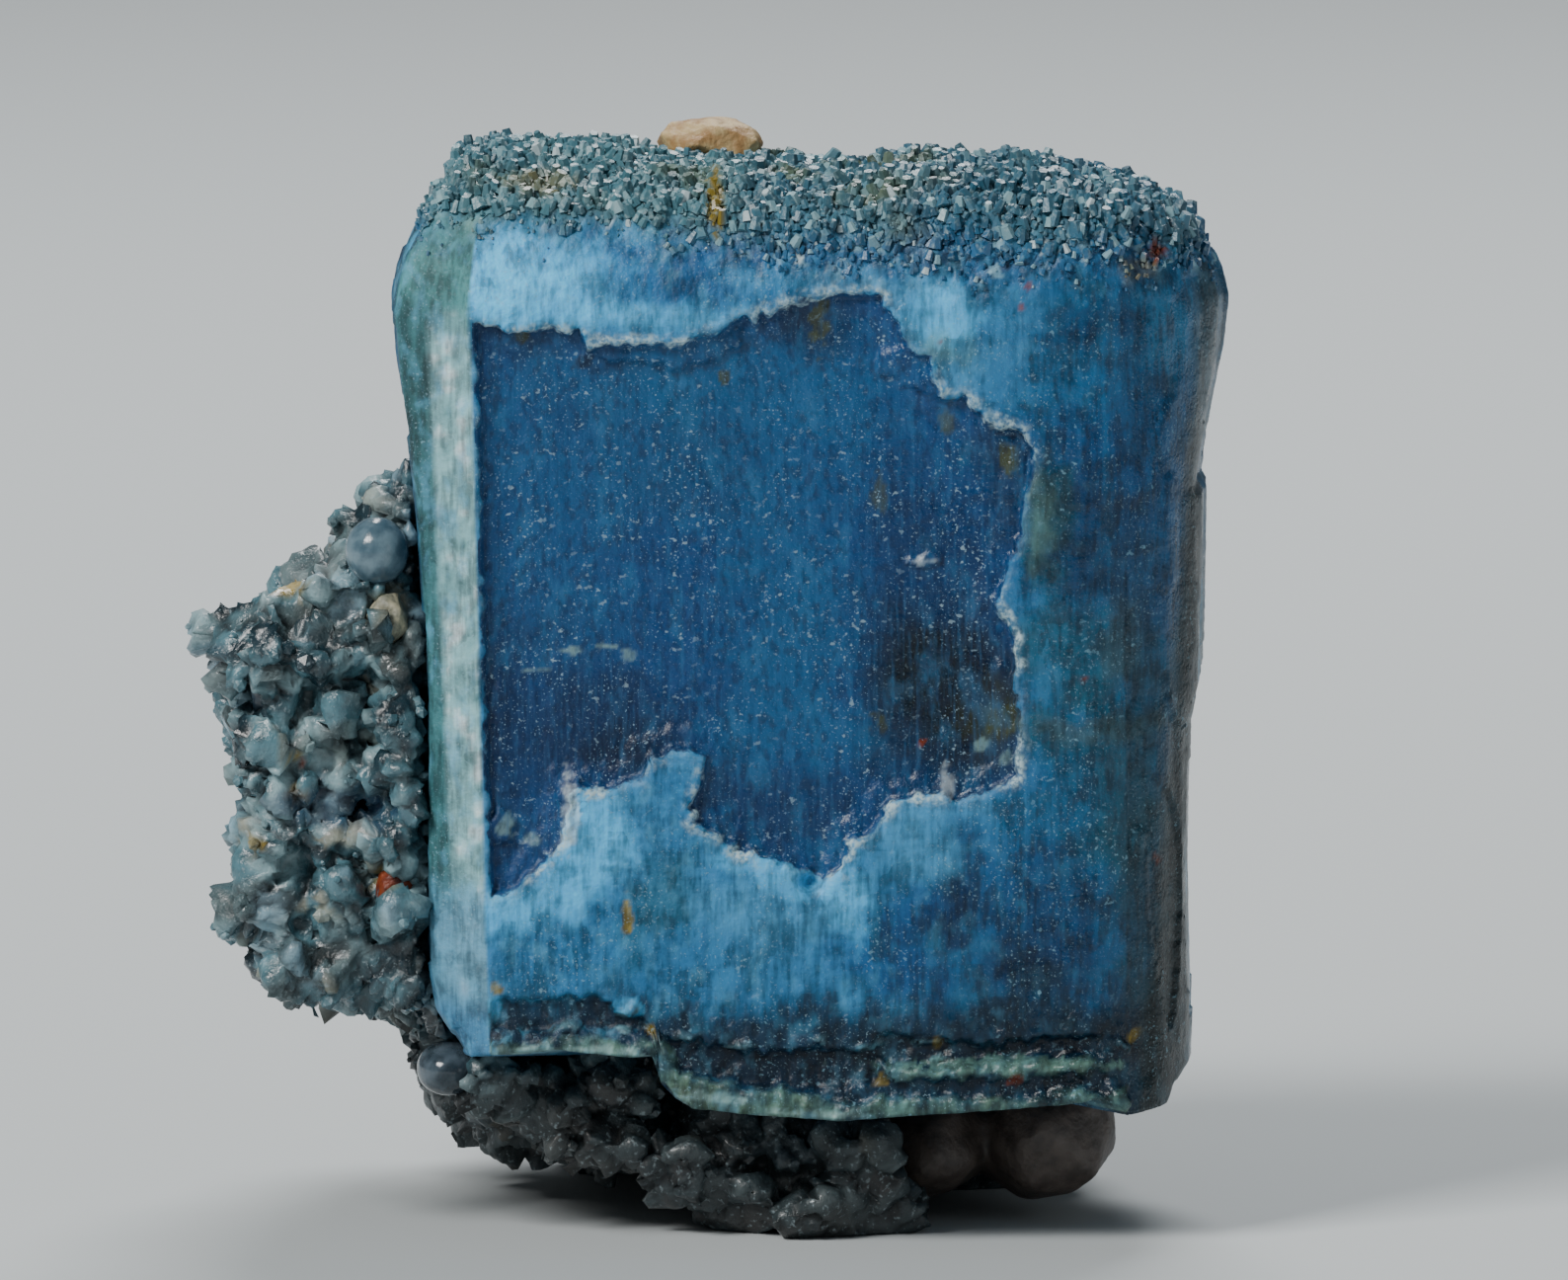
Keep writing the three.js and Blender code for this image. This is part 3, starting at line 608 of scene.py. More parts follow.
# %% Areas of the clouded skin
# Large areas of the clouded skin: colour, centre, half sizes, strength, lean.
SKIN_AREAS = [
    (FROST, (-3.1, 13.85), (1.6, 0.8), 1.0, 0.15),
    (FROST, (-1.2, 13.4), (1.5, 0.2), 0.4, 0.0),
    (DEEP, (-0.5, 13.95), (1.3, 0.4), 0.65, 0.0),
    (DEEP, (1.9, 14.3), (3.9, 0.36), 0.7, 0.0),
    (SKIN, (1.6, 13.85), (1.6, 0.25), 0.7, -0.1),
    (FROST, (3.1, 13.3), (0.45, 0.5), 0.75, 0.0),
    (SAGE, (3.1, 12.9), (0.35, 0.3), 0.5, 0.0),
    (SKIN, (4.2, 13.5), (1.3, 0.3), 0.35, 0.0),
    (NAVY, (5.1, 13.3), (0.8, 0.35), 0.6, 0.0),
    (SKIN, (6.3, 13.2), (0.55, 0.7), 0.55, 0.0),
    (CLOUD, (4.6, 12.2), (0.8, 0.7), 0.5, 0.0),
    (DEEP, (5.3, 11.3), (1.0, 1.3), 0.8, 0.0),
    (NAVY, (5.0, 10.2), (0.6, 1.1), 0.65, 0.0),
    (SEA, (4.55, 10.6), (0.3, 1.1), 0.75, 0.0),
    (SAGE, (4.45, 10.3), (0.2, 0.6), 0.6, 0.0),
    (NAVY, (5.7, 9.6), (0.9, 0.7), 0.4, 0.0),
    (SEA, (5.2, 8.3), (1.2, 0.8), 0.6, 0.0),
    (OLIVE, (5.65, 8.75), (0.3, 0.6), 0.3, 0.0),
    (CLOUD, (4.6, 7.7), (0.3, 0.6), 0.6, 0.0),
    (SEA, (5.3, 7.2), (1.0, 0.7), 0.6, 0.0),
    (OLIVE, (5.6, 7.45), (1.3, 0.2), 0.35, 0.0),
    (CLOUD, (4.6, 6.3), (0.9, 0.6), 0.6, 0.0),
    (SEA, (5.8, 6.2), (0.7, 0.9), 0.7, 0.0),
    (SEA, (6.0, 5.0), (0.5, 1.4), 0.7, 0.0),
    (NAVY, (4.3, 4.0), (0.9, 0.45), 0.9, 0.0),
    (DEEP, (4.2, 4.9), (1.0, 0.8), 0.7, -0.1),
    (NAVY, (3.25, 5.1), (0.26, 1.1), 0.85, -0.1),
    (SKIN, (2.75, 5.9), (0.45, 0.75), 0.95, 0.3),
    (DEEP, (2.5, 4.4), (0.8, 0.7), 0.85, 0.0),
    (NIGHT, (4.4, 3.9), (0.5, 0.3), 0.7, 0.0),
    (NIGHT, (5.6, 3.0), (0.9, 0.5), 0.6, 0.0),
    (SKIN, (0.8, 5.0), (1.0, 0.5), 0.55, 0.0),
    (CLOUD, (0.4, 3.9), (1.3, 0.6), 0.6, 0.0),
    (SEA, (-0.9, 4.9), (0.5, 0.7), 0.55, 0.0),
    (CLOUD, (-0.7, 4.2), (0.4, 0.5), 0.6, 0.0),
    (FROST, (-1.9, 6.1), (0.55, 0.9), 0.7, -0.5),
    (FROST, (-2.9, 4.9), (0.9, 0.4), 0.65, 0.3),
    (FROST, (0.9, 5.35), (1.1, 0.2), 0.45, -0.35),
    (FROST, (1.75, 5.1), (0.3, 0.55), 0.5, 0.2),
    (CLOUD, (-2.6, 3.9), (1.1, 0.35), 0.7, 0.0),
]
print("areas of the skin:", len(SKIN_AREAS))

# %% Areas of the clear window and its rim
# Large areas of the clear window, in the same way. The dark areas in its right part are painted shade,
# where the real crystal turns away from the light.
CLEAR_AREAS = [
    (NAVY, (-1.9, 7.5), (1.2, 0.8), 0.8, 0.1),
    (NIGHT, (-1.3, 7.2), (0.6, 0.35), 0.6, 0.2),
    (NAVY, (3.1, 9.8), (0.9, 1.4), 0.6, 0.0),
    (NIGHT, (3.2, 7.8), (1.0, 1.4), 1.0, 0.0),
    (PINE, (2.6, 7.6), (0.7, 1.2), 0.55, 0.2),
    (OLIVE, (3.75, 7.6), (0.4, 0.6), 0.35, 0.0),
    (PINE, (3.9, 11.2), (0.45, 0.9), 0.5, 0.0),
    (CLOUD, (0.9, 8.3), (0.9, 2.2), 0.5, 0.05),
    (CLOUD, (-0.4, 11.4), (2.6, 1.2), 0.35, 0.0),
    (CLOUD, (0.2, 12.4), (2.8, 0.7), 0.4, 0.0),
    (CLOUD, (-2.3, 9.9), (0.9, 1.6), 0.2, 0.0),
    (NAVY, (-3.2, 7.2), (0.4, 1.6), 0.45, 0.0),
    (NAVY, (0.9, 6.2), (0.9, 0.6), 0.6, 0.0),
    (PINE, (1.3, 13.2), (0.5, 0.5), 0.4, 0.0),
]
# Where the broken rim of the window catches the light: centre, half sizes, lean.
BRIGHT_RIMS = [
    ((-1.3, 12.98), (0.8, 0.3), 0.0), ((1.3, 13.65), (1.2, 0.35), 0.15), ((3.7, 11.9), (1.0, 0.35), -0.6),
    ((-0.2, 6.1), (1.2, 0.5), -0.7), ((2.6, 6.5), (0.5, 0.4), 0.0), ((-2.2, 6.1), (0.9, 0.9), 0.0),
    ((4.1, 8.9), (0.3, 0.6), 0.0), ((4.1, 7.0), (0.4, 0.5), 0.0), ((1.75, 5.6), (0.5, 0.4), 0.0),
    ((-2.9, 13.2), (0.8, 0.2), 0.0),
]
# Pale strip of the bevel, partly a painted highlight, and the right edge painted dark as shade: height, and
# the x from which they lie.
BEVEL_STRIP = [(3.0, -3.85), (6.6, -4.02), (11.0, -4.2), (13.5, -4.3)]
EDGE_SHADE = [(2.0, 5.75), (5.0, 6.0), (9.0, 6.35), (11.0, 6.42), (13.0, 6.6)]
print("areas of the window:", len(CLEAR_AREAS), "bright rims:", len(BRIGHT_RIMS))

# %% Small marks on the front
# Specks and chips, with a few painted glints and highlights: colour, centre, half sizes, strength.
MARKS = [
    (OLIVE, (3.93, 7.6), (0.24, 0.26), 0.6), (OLIVE, (2.2, 7.53), (0.11, 0.16), 0.7),
    (OLIVE, (3.16, 11.84), (0.1, 0.27), 0.75), (OLIVE, (-0.03, 12.48), (0.09, 0.12), 0.8),
    (OLIVE, (1.35, 13.26), (0.12, 0.36), 0.7), (OLIVE, (2.18, 10.85), (0.1, 0.28), 0.55),
    (OLIVE, (4.07, 11.35), (0.15, 0.24), 0.75), (OLIVE, (-2.88, 13.09), (0.12, 0.1), 0.7),
    (RUST, (2.81, 7.27), (0.07, 0.06), 0.85), (RUST, (3.06, 13.04), (0.07, 0.06), 0.8),
    (RUST, (4.31, 13.82), (0.07, 0.06), 0.7), (RUST, (4.21, 13.51), (0.06, 0.07), 0.6),
    (RUST, (3.97, 14.08), (0.07, 0.06), 0.6), (RUST, (6.11, 14.22), (0.11, 0.1), 0.95),
    (RUST, (5.1, 8.19), (0.08, 0.07), 0.75), (RUST, (6.15, 5.52), (0.07, 0.08), 0.8),
    (AMBER, (-1.4, 4.88), (0.07, 0.25), 0.85), (AMBER, (-3.3, 3.75), (0.09, 0.09), 0.8),
    (AMBER, (-1.05, 3.14), (0.1, 0.12), 0.7), (AMBER, (2.22, 2.42), (0.1, 0.08), 0.5),
    (AMBER, (3.02, 2.98), (0.1, 0.08), 0.4), (AMBER, (5.83, 3.05), (0.12, 0.1), 0.55),
    # The MIST marks at x 3.65 and 4.02 are painted glints.
    (RUST, (4.14, 2.46), (0.1, 0.07), 0.7), (MIST, (3.65, 7.24), (0.1, 0.08), 0.6),
    (MIST, (4.02, 7.06), (0.16, 0.1), 0.5), (SNOW, (3.16, 6.61), (0.12, 0.24), 0.4),
    (MIST, (-3.13, 6.07), (0.12, 0.16), 0.6), (MIST, (-2.74, 5.83), (0.1, 0.1), 0.5),
    (SNOW, (-2.22, 6.25), (0.12, 0.5), 0.4), (SNOW, (2.8, 9.86), (0.2, 0.05), 0.5),
    (FROST, (-3.4, 3.48), (0.2, 0.1), 0.7), (FROST, (-1.4, 3.5), (0.16, 0.12), 0.4),
    # The MIST marks near height 8.5 are a painted highlight along a broken edge of the outer layer.
    (MIST, (-2.6, 8.3), (0.2, 0.03), 0.5), (MIST, (-2.2, 8.58), (0.24, 0.045), 0.7),
    (MIST, (-1.75, 8.64), (0.22, 0.05), 0.7), (MIST, (-1.4, 8.5), (0.1, 0.1), 0.5),
    # The pale MIST and SAGE bands at the foot paint the pale broken lips, partly with a painted highlight.
    (MIST, (-0.3, 2.2), (0.5, 0.1), 0.6), (MIST, (-2.4, 2.86), (1.2, 0.08), 0.6),
    (SAGE, (3.9, 2.66), (1.6, 0.1), 0.6), (MIST, (1.2, 1.98), (0.8, 0.08), 0.5),
    (NIGHT, (-2.0, 12.75), (0.14, 0.12), 0.7),
]
print("small marks:", len(MARKS))

# %% [markdown]
# Every small crystal of the crust has one tint. It follows from where the crystal stands, with
# olive and amber stains, and from a random number of its own that makes a few of them bright, partly as
# painted glints.

# %% Colour of the crust of small crystals
CRUST_TEAL, CRUST_BLUE, CRUST_LOW = tone(84, 132, 144), tone(54, 104, 130), tone(46, 106, 156)
CRUST_OLIVE, CRUST_PALE = tone(120, 124, 70), tone(158, 200, 208)
# Stains: colour, centre, half sizes, strength.
CRUST_MARKS = [
    (AMBER, (-0.14, 14.95), (0.12, 0.45), 0.9), (AMBER, (-2.7, 15.2), (0.5, 0.15), 0.5),
    (AMBER, (5.8, 14.0), (0.3, 0.15), 0.55), (RUST, (6.11, 14.22), (0.15, 0.12), 0.95),
]


def sugar_look(p, number):
    """Tint of each small crystal of the crust, from where it stands and its own number."""
    x, y, z = p.T
    mottle = rough(p, 1.1, 113, 4)
    tint = paint(CRUST_TEAL, CRUST_BLUE, 0.4 + 0.08 * x + 0.8 * mottle)
    olive = ramp(rough(p, 0.9, 131), 0.05, 0.5) * ramp(5.0 - x, 0, 3)
    tint = paint(tint, CRUST_OLIVE, olive * 0.6)
    tint = paint(tint, CRUST_LOW, ramp(14.75 + 0.4 * mottle - z, 0, 0.6) * 0.75)
    # The palest grains are partly whitish crystals, partly painted glints.
    tint = paint(tint, CRUST_PALE, ramp(number, 0.8, 0.95) * 0.7)
    tint = paint(tint, SNOW, ramp(number, 0.98, 0.99) * 0.7)
    tint = paint(tint, NIGHT, (1 - ramp(number, 0.02, 0.4)) * 0.4)
    return stain(tint, p, CRUST_MARKS, 350, 0.8, where=ramp(2.0 - y, 0, 0.6))


print("tint of one small crystal:", sugar_look(np.array([[0.0, 2.0, 15.0]]), np.array([0.5])).round(3))

# %% [markdown]
# The crystal itself has four looks: the clouded skin, the clear window, the bevel at the left
# and the sides that face away. All four share the same three noises, so that they belong to
# one stone.

# %% Colour of the clouded skin
# Dark blues of painted shade: at the foot, towards the right and low at the right.
FOOT_SHADE_BLUE, FOOT_SHADE = tone(12, 40, 66), tone(0, 24, 40)
RIGHT_SHADE, LOW_SHADE, LEDGE_PALE = tone(2, 34, 44), tone(0, 24, 44), tone(112, 158, 168)


def stone_noise(p):
    """Upright streaks, broad mottling and fine mottling at each point."""
    streak = rough(p * np.array([1, 1, 0.07]), 0.3, 111, 3)
    return streak, rough(p, 1.1, 113, 4), rough(p, 0.22, 117, 3)


def skin_look(p, masks, streak, mottle, fine):
    """Colour of the clouded skin on the front and on the narrow right face, with painted shade towards the
    right and at the foot.
    """
    x, _, z = p.T
    skin = paint(SKIN, CLOUD, 0.6 + 0.9 * mottle)
    skin = paint(skin, FROST, ramp(mottle + 0.7 * fine, 0.4, 1.0) * 0.35)
    # Painted shade: darker towards the right, and dark blue at the foot.
    skin = paint(skin, DEEP, ramp(x, 2.5, 5.0) * 0.55)
    skin = paint(skin, FOOT_SHADE_BLUE, ramp(3.9 + 0.6 * streak - z, 0, 0.7) * 0.9)
    skin = stain(skin, p, SKIN_AREAS, 200, 0.9, 0.35)
    skin = paint(skin, SKIN, ramp(streak, 0.3, 0.8) * 0.3)
    skin = paint(skin, NAVY, ramp(-streak, 0.25, 0.8) * 0.4)
    # More painted shade: towards the right, low at the right and at the foot.
    skin = paint(skin, RIGHT_SHADE, ramp(x, 3.0, 5.0) * 0.3)
    skin = paint(skin, LOW_SHADE, ramp(x, 1.5, 3.5) * ramp(7 + mottle - z, 0, 2) * 0.3)
    skin = paint(skin, FOOT_SHADE, ramp(3.7 + 0.3 * mottle - z, 0, 0.5) * 0.5)
    # Painted shade in the hollows at the foot.
    skin = paint(skin, NIGHT, masks["hollow"] * 0.6)
    # The lips are painted pale: partly the pale broken stone, partly a painted highlight where they catch
    # the light.
    skin = paint(skin, SAGE, masks["lip"] * (0.5 + 0.9 * fine))
    skin = paint(skin, PINE, masks["lip"] * ramp(streak - fine, 0.0, 0.9) * 0.6)
    skin = paint(skin, OLIVE, masks["lip"] * ramp(fine + mottle, 0.0, 0.8) * 0.4)
    # The small ledges are painted pale in the same way: pale stone and a painted highlight.
    return paint(skin, LEDGE_PALE, masks["ledge"] * (0.35 + 0.9 * fine))


# %% Colours of the window, the far sides and the bevel
SIDE_BLUE, BEVEL_TEAL, STRIP_PALE = tone(36, 90, 124), tone(60, 112, 118), tone(136, 182, 188)
BEVEL_TOP, BEVEL_LOW = tone(76, 138, 140), tone(92, 146, 176)


def window_look(p, streak, mottle, fine):
    """Colour of the clear blue inside."""
    clear = paint(DEEP, NAVY, ramp(mottle, -0.2, 0.8) * 0.7)
    clear = stain(clear, p, CLEAR_AREAS, 240, 0.9, 0.35)
    return paint(clear, CLOUD, ramp(streak + 0.4 * fine, 0.4, 1.1) * 0.4)


def side_look(streak, mottle, fine):
    """Colour of the sides that face away."""
    side = paint(SIDE_BLUE, NIGHT, 0.25 + 0.9 * streak)
    side = paint(side, SEA, ramp(mottle, -0.1, 0.5) * 0.7)
    return paint(side, FROST, ramp(fine + mottle + streak, 0.3, 1.4) * 0.5)


def bevel_look(p, streak, mottle, fine):
    """Colour of the bevel at the left, with its pale strip, partly a painted highlight."""
    x, _, z = p.T
    bevel = paint(BEVEL_TEAL, PINE, 0.2 + 0.7 * streak)
    # The pale strip along the bevel: partly its frosted stone, partly a painted highlight where the bevel
    # faces the light.
    strip = ramp(x - edge(BEVEL_STRIP, z) - 0.06 * fine, 0, 0.12) * ramp(13.5 + 0.4 * mottle - z, 0, 0.6)
    bevel = paint(bevel, STRIP_PALE, strip * (0.85 + 0.8 * fine))
    bevel = paint(bevel, SNOW, strip * ramp(fine + 0.4 * streak, 0.1, 0.6) * 0.7)
    bevel = paint(bevel, BEVEL_TOP, ramp(z + 0.4 * mottle, 13.2, 13.9) * 0.7)
    bevel = paint(bevel, BEVEL_LOW, ramp(5.6 + 0.4 * mottle - z, 0, 0.8) * 0.8)
    return paint(bevel, CLOUD, ramp(3.9 + 0.3 * mottle - z, 0, 0.6) * 0.7)


# %% [markdown]
# The looks are then put together. The small marks lie over skin and window alike, the right
# edge is painted dark as shade, and the crust covers what lies under it. Frosting is 0 where
# the stone is glassy and 1 where it is dull.

# %% Put the crystal's looks together
# Dark teal of the painted shade on the right edge.
EDGE_SHADE_TEAL = tone(34, 66, 76)
BEVEL_FROST, CRUST_FROST = 0.9, 0.8


def crystal_look(p, face, masks, crust):
    """Skin colour, clear colour and frosting of each point of the crystal."""
    x, y, z = p.T
    streak, mottle, fine = stone_noise(p)
    skin = skin_look(p, masks, streak, mottle, fine)
    clear = window_look(p, streak, mottle, fine)
    for k, (shade, centre, half, strength) in enumerate(MARKS):
        mark = strength * blob(p, centre, half, 300 + k, 1.2) * ramp(2.5 - y, 0, 1)
        skin, clear = paint(skin, shade, mark), paint(clear, shade, mark)
    # Painted shade: the right edge faces away from the light and is painted dark teal, and darker still
    # lower down.
    shaded_edge = ramp(x - edge(EDGE_SHADE, z) - 0.1 * mottle, 0, 0.3) * ramp(3.6 - y, 0, 1.2)
    skin = paint(skin, EDGE_SHADE_TEAL, shaded_edge * 0.9)
    skin = paint(skin, PINE, shaded_edge * ramp(12.4 + mottle - z, 0, 1.0) * 0.95)

    bevel = face == FACE["bevel"]
    unseen = (face > FACE["right side"]) & (face < FACE["bevel"])
    far_side = ramp(y + 0.8 * mottle + 0.4 * fine, 1.4, 3.4)
    unseen = np.where(face == FACE["right side"], far_side, unseen * 1.0)
    skin = paint(skin, side_look(streak, mottle, fine), unseen)
    skin = np.where(bevel[:, None], bevel_look(p, streak, mottle, fine), skin)
    near, far, _, number = cells(p, SMALL_GRAIN, SMALL_SEED)
    # Painted shade in the cracks between the crust's grains.
    sugar_skin = paint(sugar_look(p, number), NIGHT, (1 - ramp(far - near, 0.02, 0.2)) * 0.45)
    skin = paint(skin, sugar_skin, crust)

    frost = np.where(bevel, BEVEL_FROST, 0.5 + 0.2 * fine - 0.07 * x)
    frost = frost + (CRUST_FROST - frost) * crust
    return skin, clear, np.clip(frost, 0.1, 1)


# %% Paint the crystal
def whole(side_values, top_values, foot_values):
    """Values of all the crystal's points, in the order of its mesh."""
    return np.concatenate([side_values, top_values, foot_values])


no_top, no_foot = np.zeros(len(top)), np.zeros(len(foot))
face_number = whole(corner_of, no_top + FACE["back"], no_foot + FACE["left side"])
in_window = whole(np.where(front, masks["rim"], -1.0), no_top - 1, no_foot - 1)
crystal_masks = {key: whole(masks[key] * front, no_top, no_foot) for key in ("hollow", "lip", "ledge")}
crystal_crust = whole(crust, no_top + 1, no_foot)
crystal_skin, crystal_clear, crystal_frost = crystal_look(
    all_points, face_number, crystal_masks, crystal_crust,
)
lit = np.zeros(len(all_points))
for k, (centre, half, lean) in enumerate(BRIGHT_RIMS):
    lit = np.maximum(lit, blob(all_points, centre, half, 370 + k, 0.4, lean))
print("mean crystal skin:", crystal_skin.mean(axis=0).round(3))

# %% [markdown]
# A small set of helpers turns arrays into Blender meshes and builds node materials. Everything
# that depends on place reads either a colour stored on the points or the object's own
# coordinates, so the finish stays fixed to the stone when it is turned.

# %% Mesh helpers
def add_object(name, data):
    """Put a mesh, a camera or a light into the scene."""
    made = bpy.data.objects.new(name, data)
    bpy.context.scene.collection.objects.link(made)
    return made


def store_colour(mesh, key, values):
    """Store a colour on each point of a mesh."""
    layer = mesh.color_attributes.new(key, "FLOAT_COLOR", "POINT")
    with_alpha = np.column_stack([values, np.ones(len(values))])
    layer.data.foreach_set("color", with_alpha.astype(np.float32).ravel())


def store_number(mesh, key, values):
    """Store a number on each point of a mesh, over an older one of the same name."""
    layer = mesh.attributes.get(key) or mesh.attributes.new(key, "FLOAT", "POINT")
    layer.data.foreach_set("value", np.asarray(values, np.float32))


def read_rows(items, key, width):
    """Numbers of a mesh's points, one row for each point."""
    values = np.empty(len(items) * width, np.float32)
    items.foreach_get(key, values)
    return values.reshape(-1, width).astype(float)


def settle(thing):
    """The plain mesh that an object's modifiers make. The object itself is removed."""
    mesh = bpy.data.meshes.new_from_object(thing.evaluated_get(bpy.context.evaluated_depsgraph_get()))
    bpy.data.objects.remove(thing)
    return mesh


def make_mesh(name, points_mm, faces, colours, numbers):
    """A smooth mesh object from crystal millimetres, with colours and numbers on its points."""
    mesh = bpy.data.meshes.new(name)
    corners = [list(f) for part in faces for f in part.tolist()]
    mesh.from_pydata(((points_mm + ZERO) * MM).tolist(), [], corners)
    for key, values in colours.items():
        store_colour(mesh, key, values)
    for key, values in numbers.items():
        store_number(mesh, key, values)
    mesh.polygons.foreach_set("use_smooth", [True] * len(mesh.polygons))
    mesh.update()
    return add_object(name, mesh)


def triangles(piece):
    """How many triangles the faces of a piece make."""
    return sum(len(p.vertices) - 2 for p in piece.data.polygons)


# %% Node helpers
def connect(tree, socket, value):
    """Wire a socket to another one, or set its value."""
    if isinstance(value, bpy.types.NodeSocket):
        tree.links.new(value, socket)
    else:
        socket.default_value = value


def put_node(tree, kind, inputs, settings):
    """Add a node to a tree with its settings and inputs."""
    node = tree.nodes.new(kind)
    for key, value in settings.items():
        setattr(node, key, value)
    for key, value in (inputs or {}).items():
        connect(tree, node.inputs[key], value)
    return node


class Finish:
    """A node material under construction. Each call adds nodes and gives back an output."""

    def __init__(self, name):
        self.material = bpy.data.materials.new(name)
        self.material.use_nodes = True
        self.tree = self.material.node_tree
        self.shader = self.tree.nodes["Principled BSDF"]
        where = self.put("ShaderNodeTexCoord").outputs["Object"]
        self.place = self.scale_place(where, (1 / MM,) * 3)

    def put(self, kind, inputs=None, **settings):
        return put_node(self.tree, kind, inputs, settings)

    def scale_place(self, where, factors):
        return self.put("ShaderNodeVectorMath", {0: where, 1: factors}, operation="MULTIPLY").outputs[0]

    def attribute(self, name, output="Color"):
        """A colour or a number (output Fac) that is stored on the points."""
        return self.put("ShaderNodeAttribute", attribute_name=name).outputs[output]

    def spots(self, kind, size, stretch, inputs, **settings):
        """A pattern node with lumps of a size in mm, stretched along the axes."""
        place = self.scale_place(self.place, tuple(1 / (size * s) for s in stretch))
        return self.put(kind, {"Vector": place, "Scale": 1.0, **inputs}, **settings).outputs

    def noise(self, size, stretch, detail):
        """Smooth noise from 0 to 1."""
        return self.spots("ShaderNodeTexNoise", size, stretch, {"Detail": detail})["Fac"]

    def blocks(self, size, stretch):
        """A number for each of many box-like cells."""
        found = self.spots("ShaderNodeTexVoronoi", size, stretch, {}, distance="CHEBYCHEV")
        return self.put("ShaderNodeSeparateColor", {0: found["Color"]}).outputs[0]

    def slope(self, value, low, high, to_low=0.0, to_high=1.0):
        """Map a value from one range to another, smoothly, and clamp it."""
        inputs = {"Value": value, "From Min": low, "From Max": high, "To Min": to_low, "To Max": to_high}
        return self.put("ShaderNodeMapRange", inputs, interpolation_type="SMOOTHSTEP").outputs["Result"]

    def math(self, operation, a, b, c=0.0):
        return self.put("ShaderNodeMath", {0: a, 1: b, 2: c}, operation=operation).outputs[0]

    def mix(self, factor, a, b, blend="MIX"):
        """Two colours mixed: a where the factor is 0, b where it is 1."""
        node = self.put("ShaderNodeMix", {0: factor, 6: a, 7: b}, data_type="RGBA", blend_type=blend)
        return node.outputs[2]

    def lay(self, look, colour, mask, strength=1.0):
        """Lay a plain colour over a look as strongly as the mask says."""
        share = mask if strength == 1.0 else self.math("MULTIPLY", mask, strength)
        return self.mix(share, look, rgba(colour))

    def bump(self, height, distance, strength=1.0):
        """Bump whose height of 1 stands for a distance in mm."""
        inputs = {"Height": height, "Distance": distance * MM, "Strength": strength}
        return self.put("ShaderNodeBump", inputs).outputs["Normal"]

    def finish(self, **values):
        """Wire the results to the shader's inputs and give back the material."""
        for key, value in values.items():
            connect(self.tree, self.shader.inputs[key.replace("_", " ")], value)
        return self.material


def rgba(colour):
    return (*[float(c) for c in colour], 1.0)


print("a colour as a node takes it:", rgba(DEEP.round(3)))

# %% [markdown]
# Beryl is a glassy mineral with a refractive index near 1.57. Light enters the clear window and
# is lost among inner fractures, while the clouded skin scatters it back. One shader does both:
# a share of plain transmission, a little scattering below the surface, and a roughness that
# follows the frosting stored on the points.

# %% Colours in the beryl's shader
def clear_beryl(f, glints, glint_flecks):
    """The clear inside: streaks and veils, dark gaps, then painted glints and glint flecks."""
    streaks = f.slope(f.noise(0.06, (1, 1, 12), 3.0), 0.45, 0.75)
    clear = f.lay(f.attribute("clear"), tone(52, 112, 160), streaks, 0.35)
    veil = f.slope(f.noise(0.3, (1, 1, 2.2), 4.0), 0.5, 0.72, 0.0, 0.4)
    clear = f.lay(clear, tone(54, 118, 164), veil)
    shadow = f.slope(f.noise(0.11, (1, 1, 1.8), 3.0), 0.32, 0.55, 0.45, 0.0)
    clear = f.lay(clear, tone(4, 26, 60), shadow)
    clear = f.lay(clear, tone(142, 180, 206), glints, 0.75)
    return f.lay(clear, tone(168, 198, 214), glint_flecks, 0.6)


def clouded_beryl(f, frost, glints, glint_flecks):
    """The clouded skin: streaks, lumps and blocks, pale clouds, then painted glints and glint flecks."""
    upright = f.slope(f.noise(0.07, (1, 1, 7), 4.0), 0.3, 0.7, 0.0, 0.45)
    patchy = f.slope(f.noise(0.9, (1, 1, 1), 2.0), 0.5, 0.64, 0.0, 0.2)
    level = f.math("MULTIPLY", f.slope(f.noise(0.12, (3, 3, 1), 3.0), 0.35, 0.65), patchy)
    lumps = f.slope(f.noise(0.35, (1, 1, 1), 5.0), 0.3, 0.7, 0.0, 0.55)
    block = f.math("MULTIPLY_ADD", f.blocks(0.34, (1, 1, 1.7)), 0.3, lumps)
    weave = f.math("ADD", f.math("ADD", upright, level), block)
    skin = f.mix(1.0, f.attribute("skin"), f.slope(weave, 0.15, 1.1, 0.55, 1.5), "MULTIPLY")
    cloudy = f.math("MULTIPLY", f.slope(f.noise(0.25, (1, 1, 1.5), 4.0), 0.48, 0.75), frost)
    skin = f.lay(skin, tone(112, 194, 232), cloudy, 0.5)
    skin = f.lay(skin, tone(170, 206, 220), glints, 0.4)
    return f.lay(skin, tone(150, 204, 226), glint_flecks, 0.4)


def lit_rim(f, edge_line):
    """The line along the window's broken rim, and how brightly it is lit."""
    outer = f.slope(edge_line, -0.2, 0.0)
    line = f.math("MULTIPLY", outer, f.slope(edge_line, 0.0, 0.05, 1.0, 0.0))
    gap = f.slope(f.noise(0.22, (1, 1, 1), 3.0), 0.36, 0.6)
    part = f.math("MULTIPLY", f.math("ADD", f.attribute("lit", "Fac"), 0.12), gap)
    grain = f.slope(f.noise(0.06, (1, 1, 1), 3.0), 0.35, 0.62, 0.2, 1.0)
    return line, f.math("MULTIPLY", f.math("MULTIPLY", line, part), grain)


# %% Beryl
BERYL_IOR = 1.57
BERYL_SCATTER = {"Subsurface_Weight": 0.15, "Subsurface_Scale": 0.25 * MM,
                 "Subsurface_Radius": (0.6, 1.0, 1.4)}


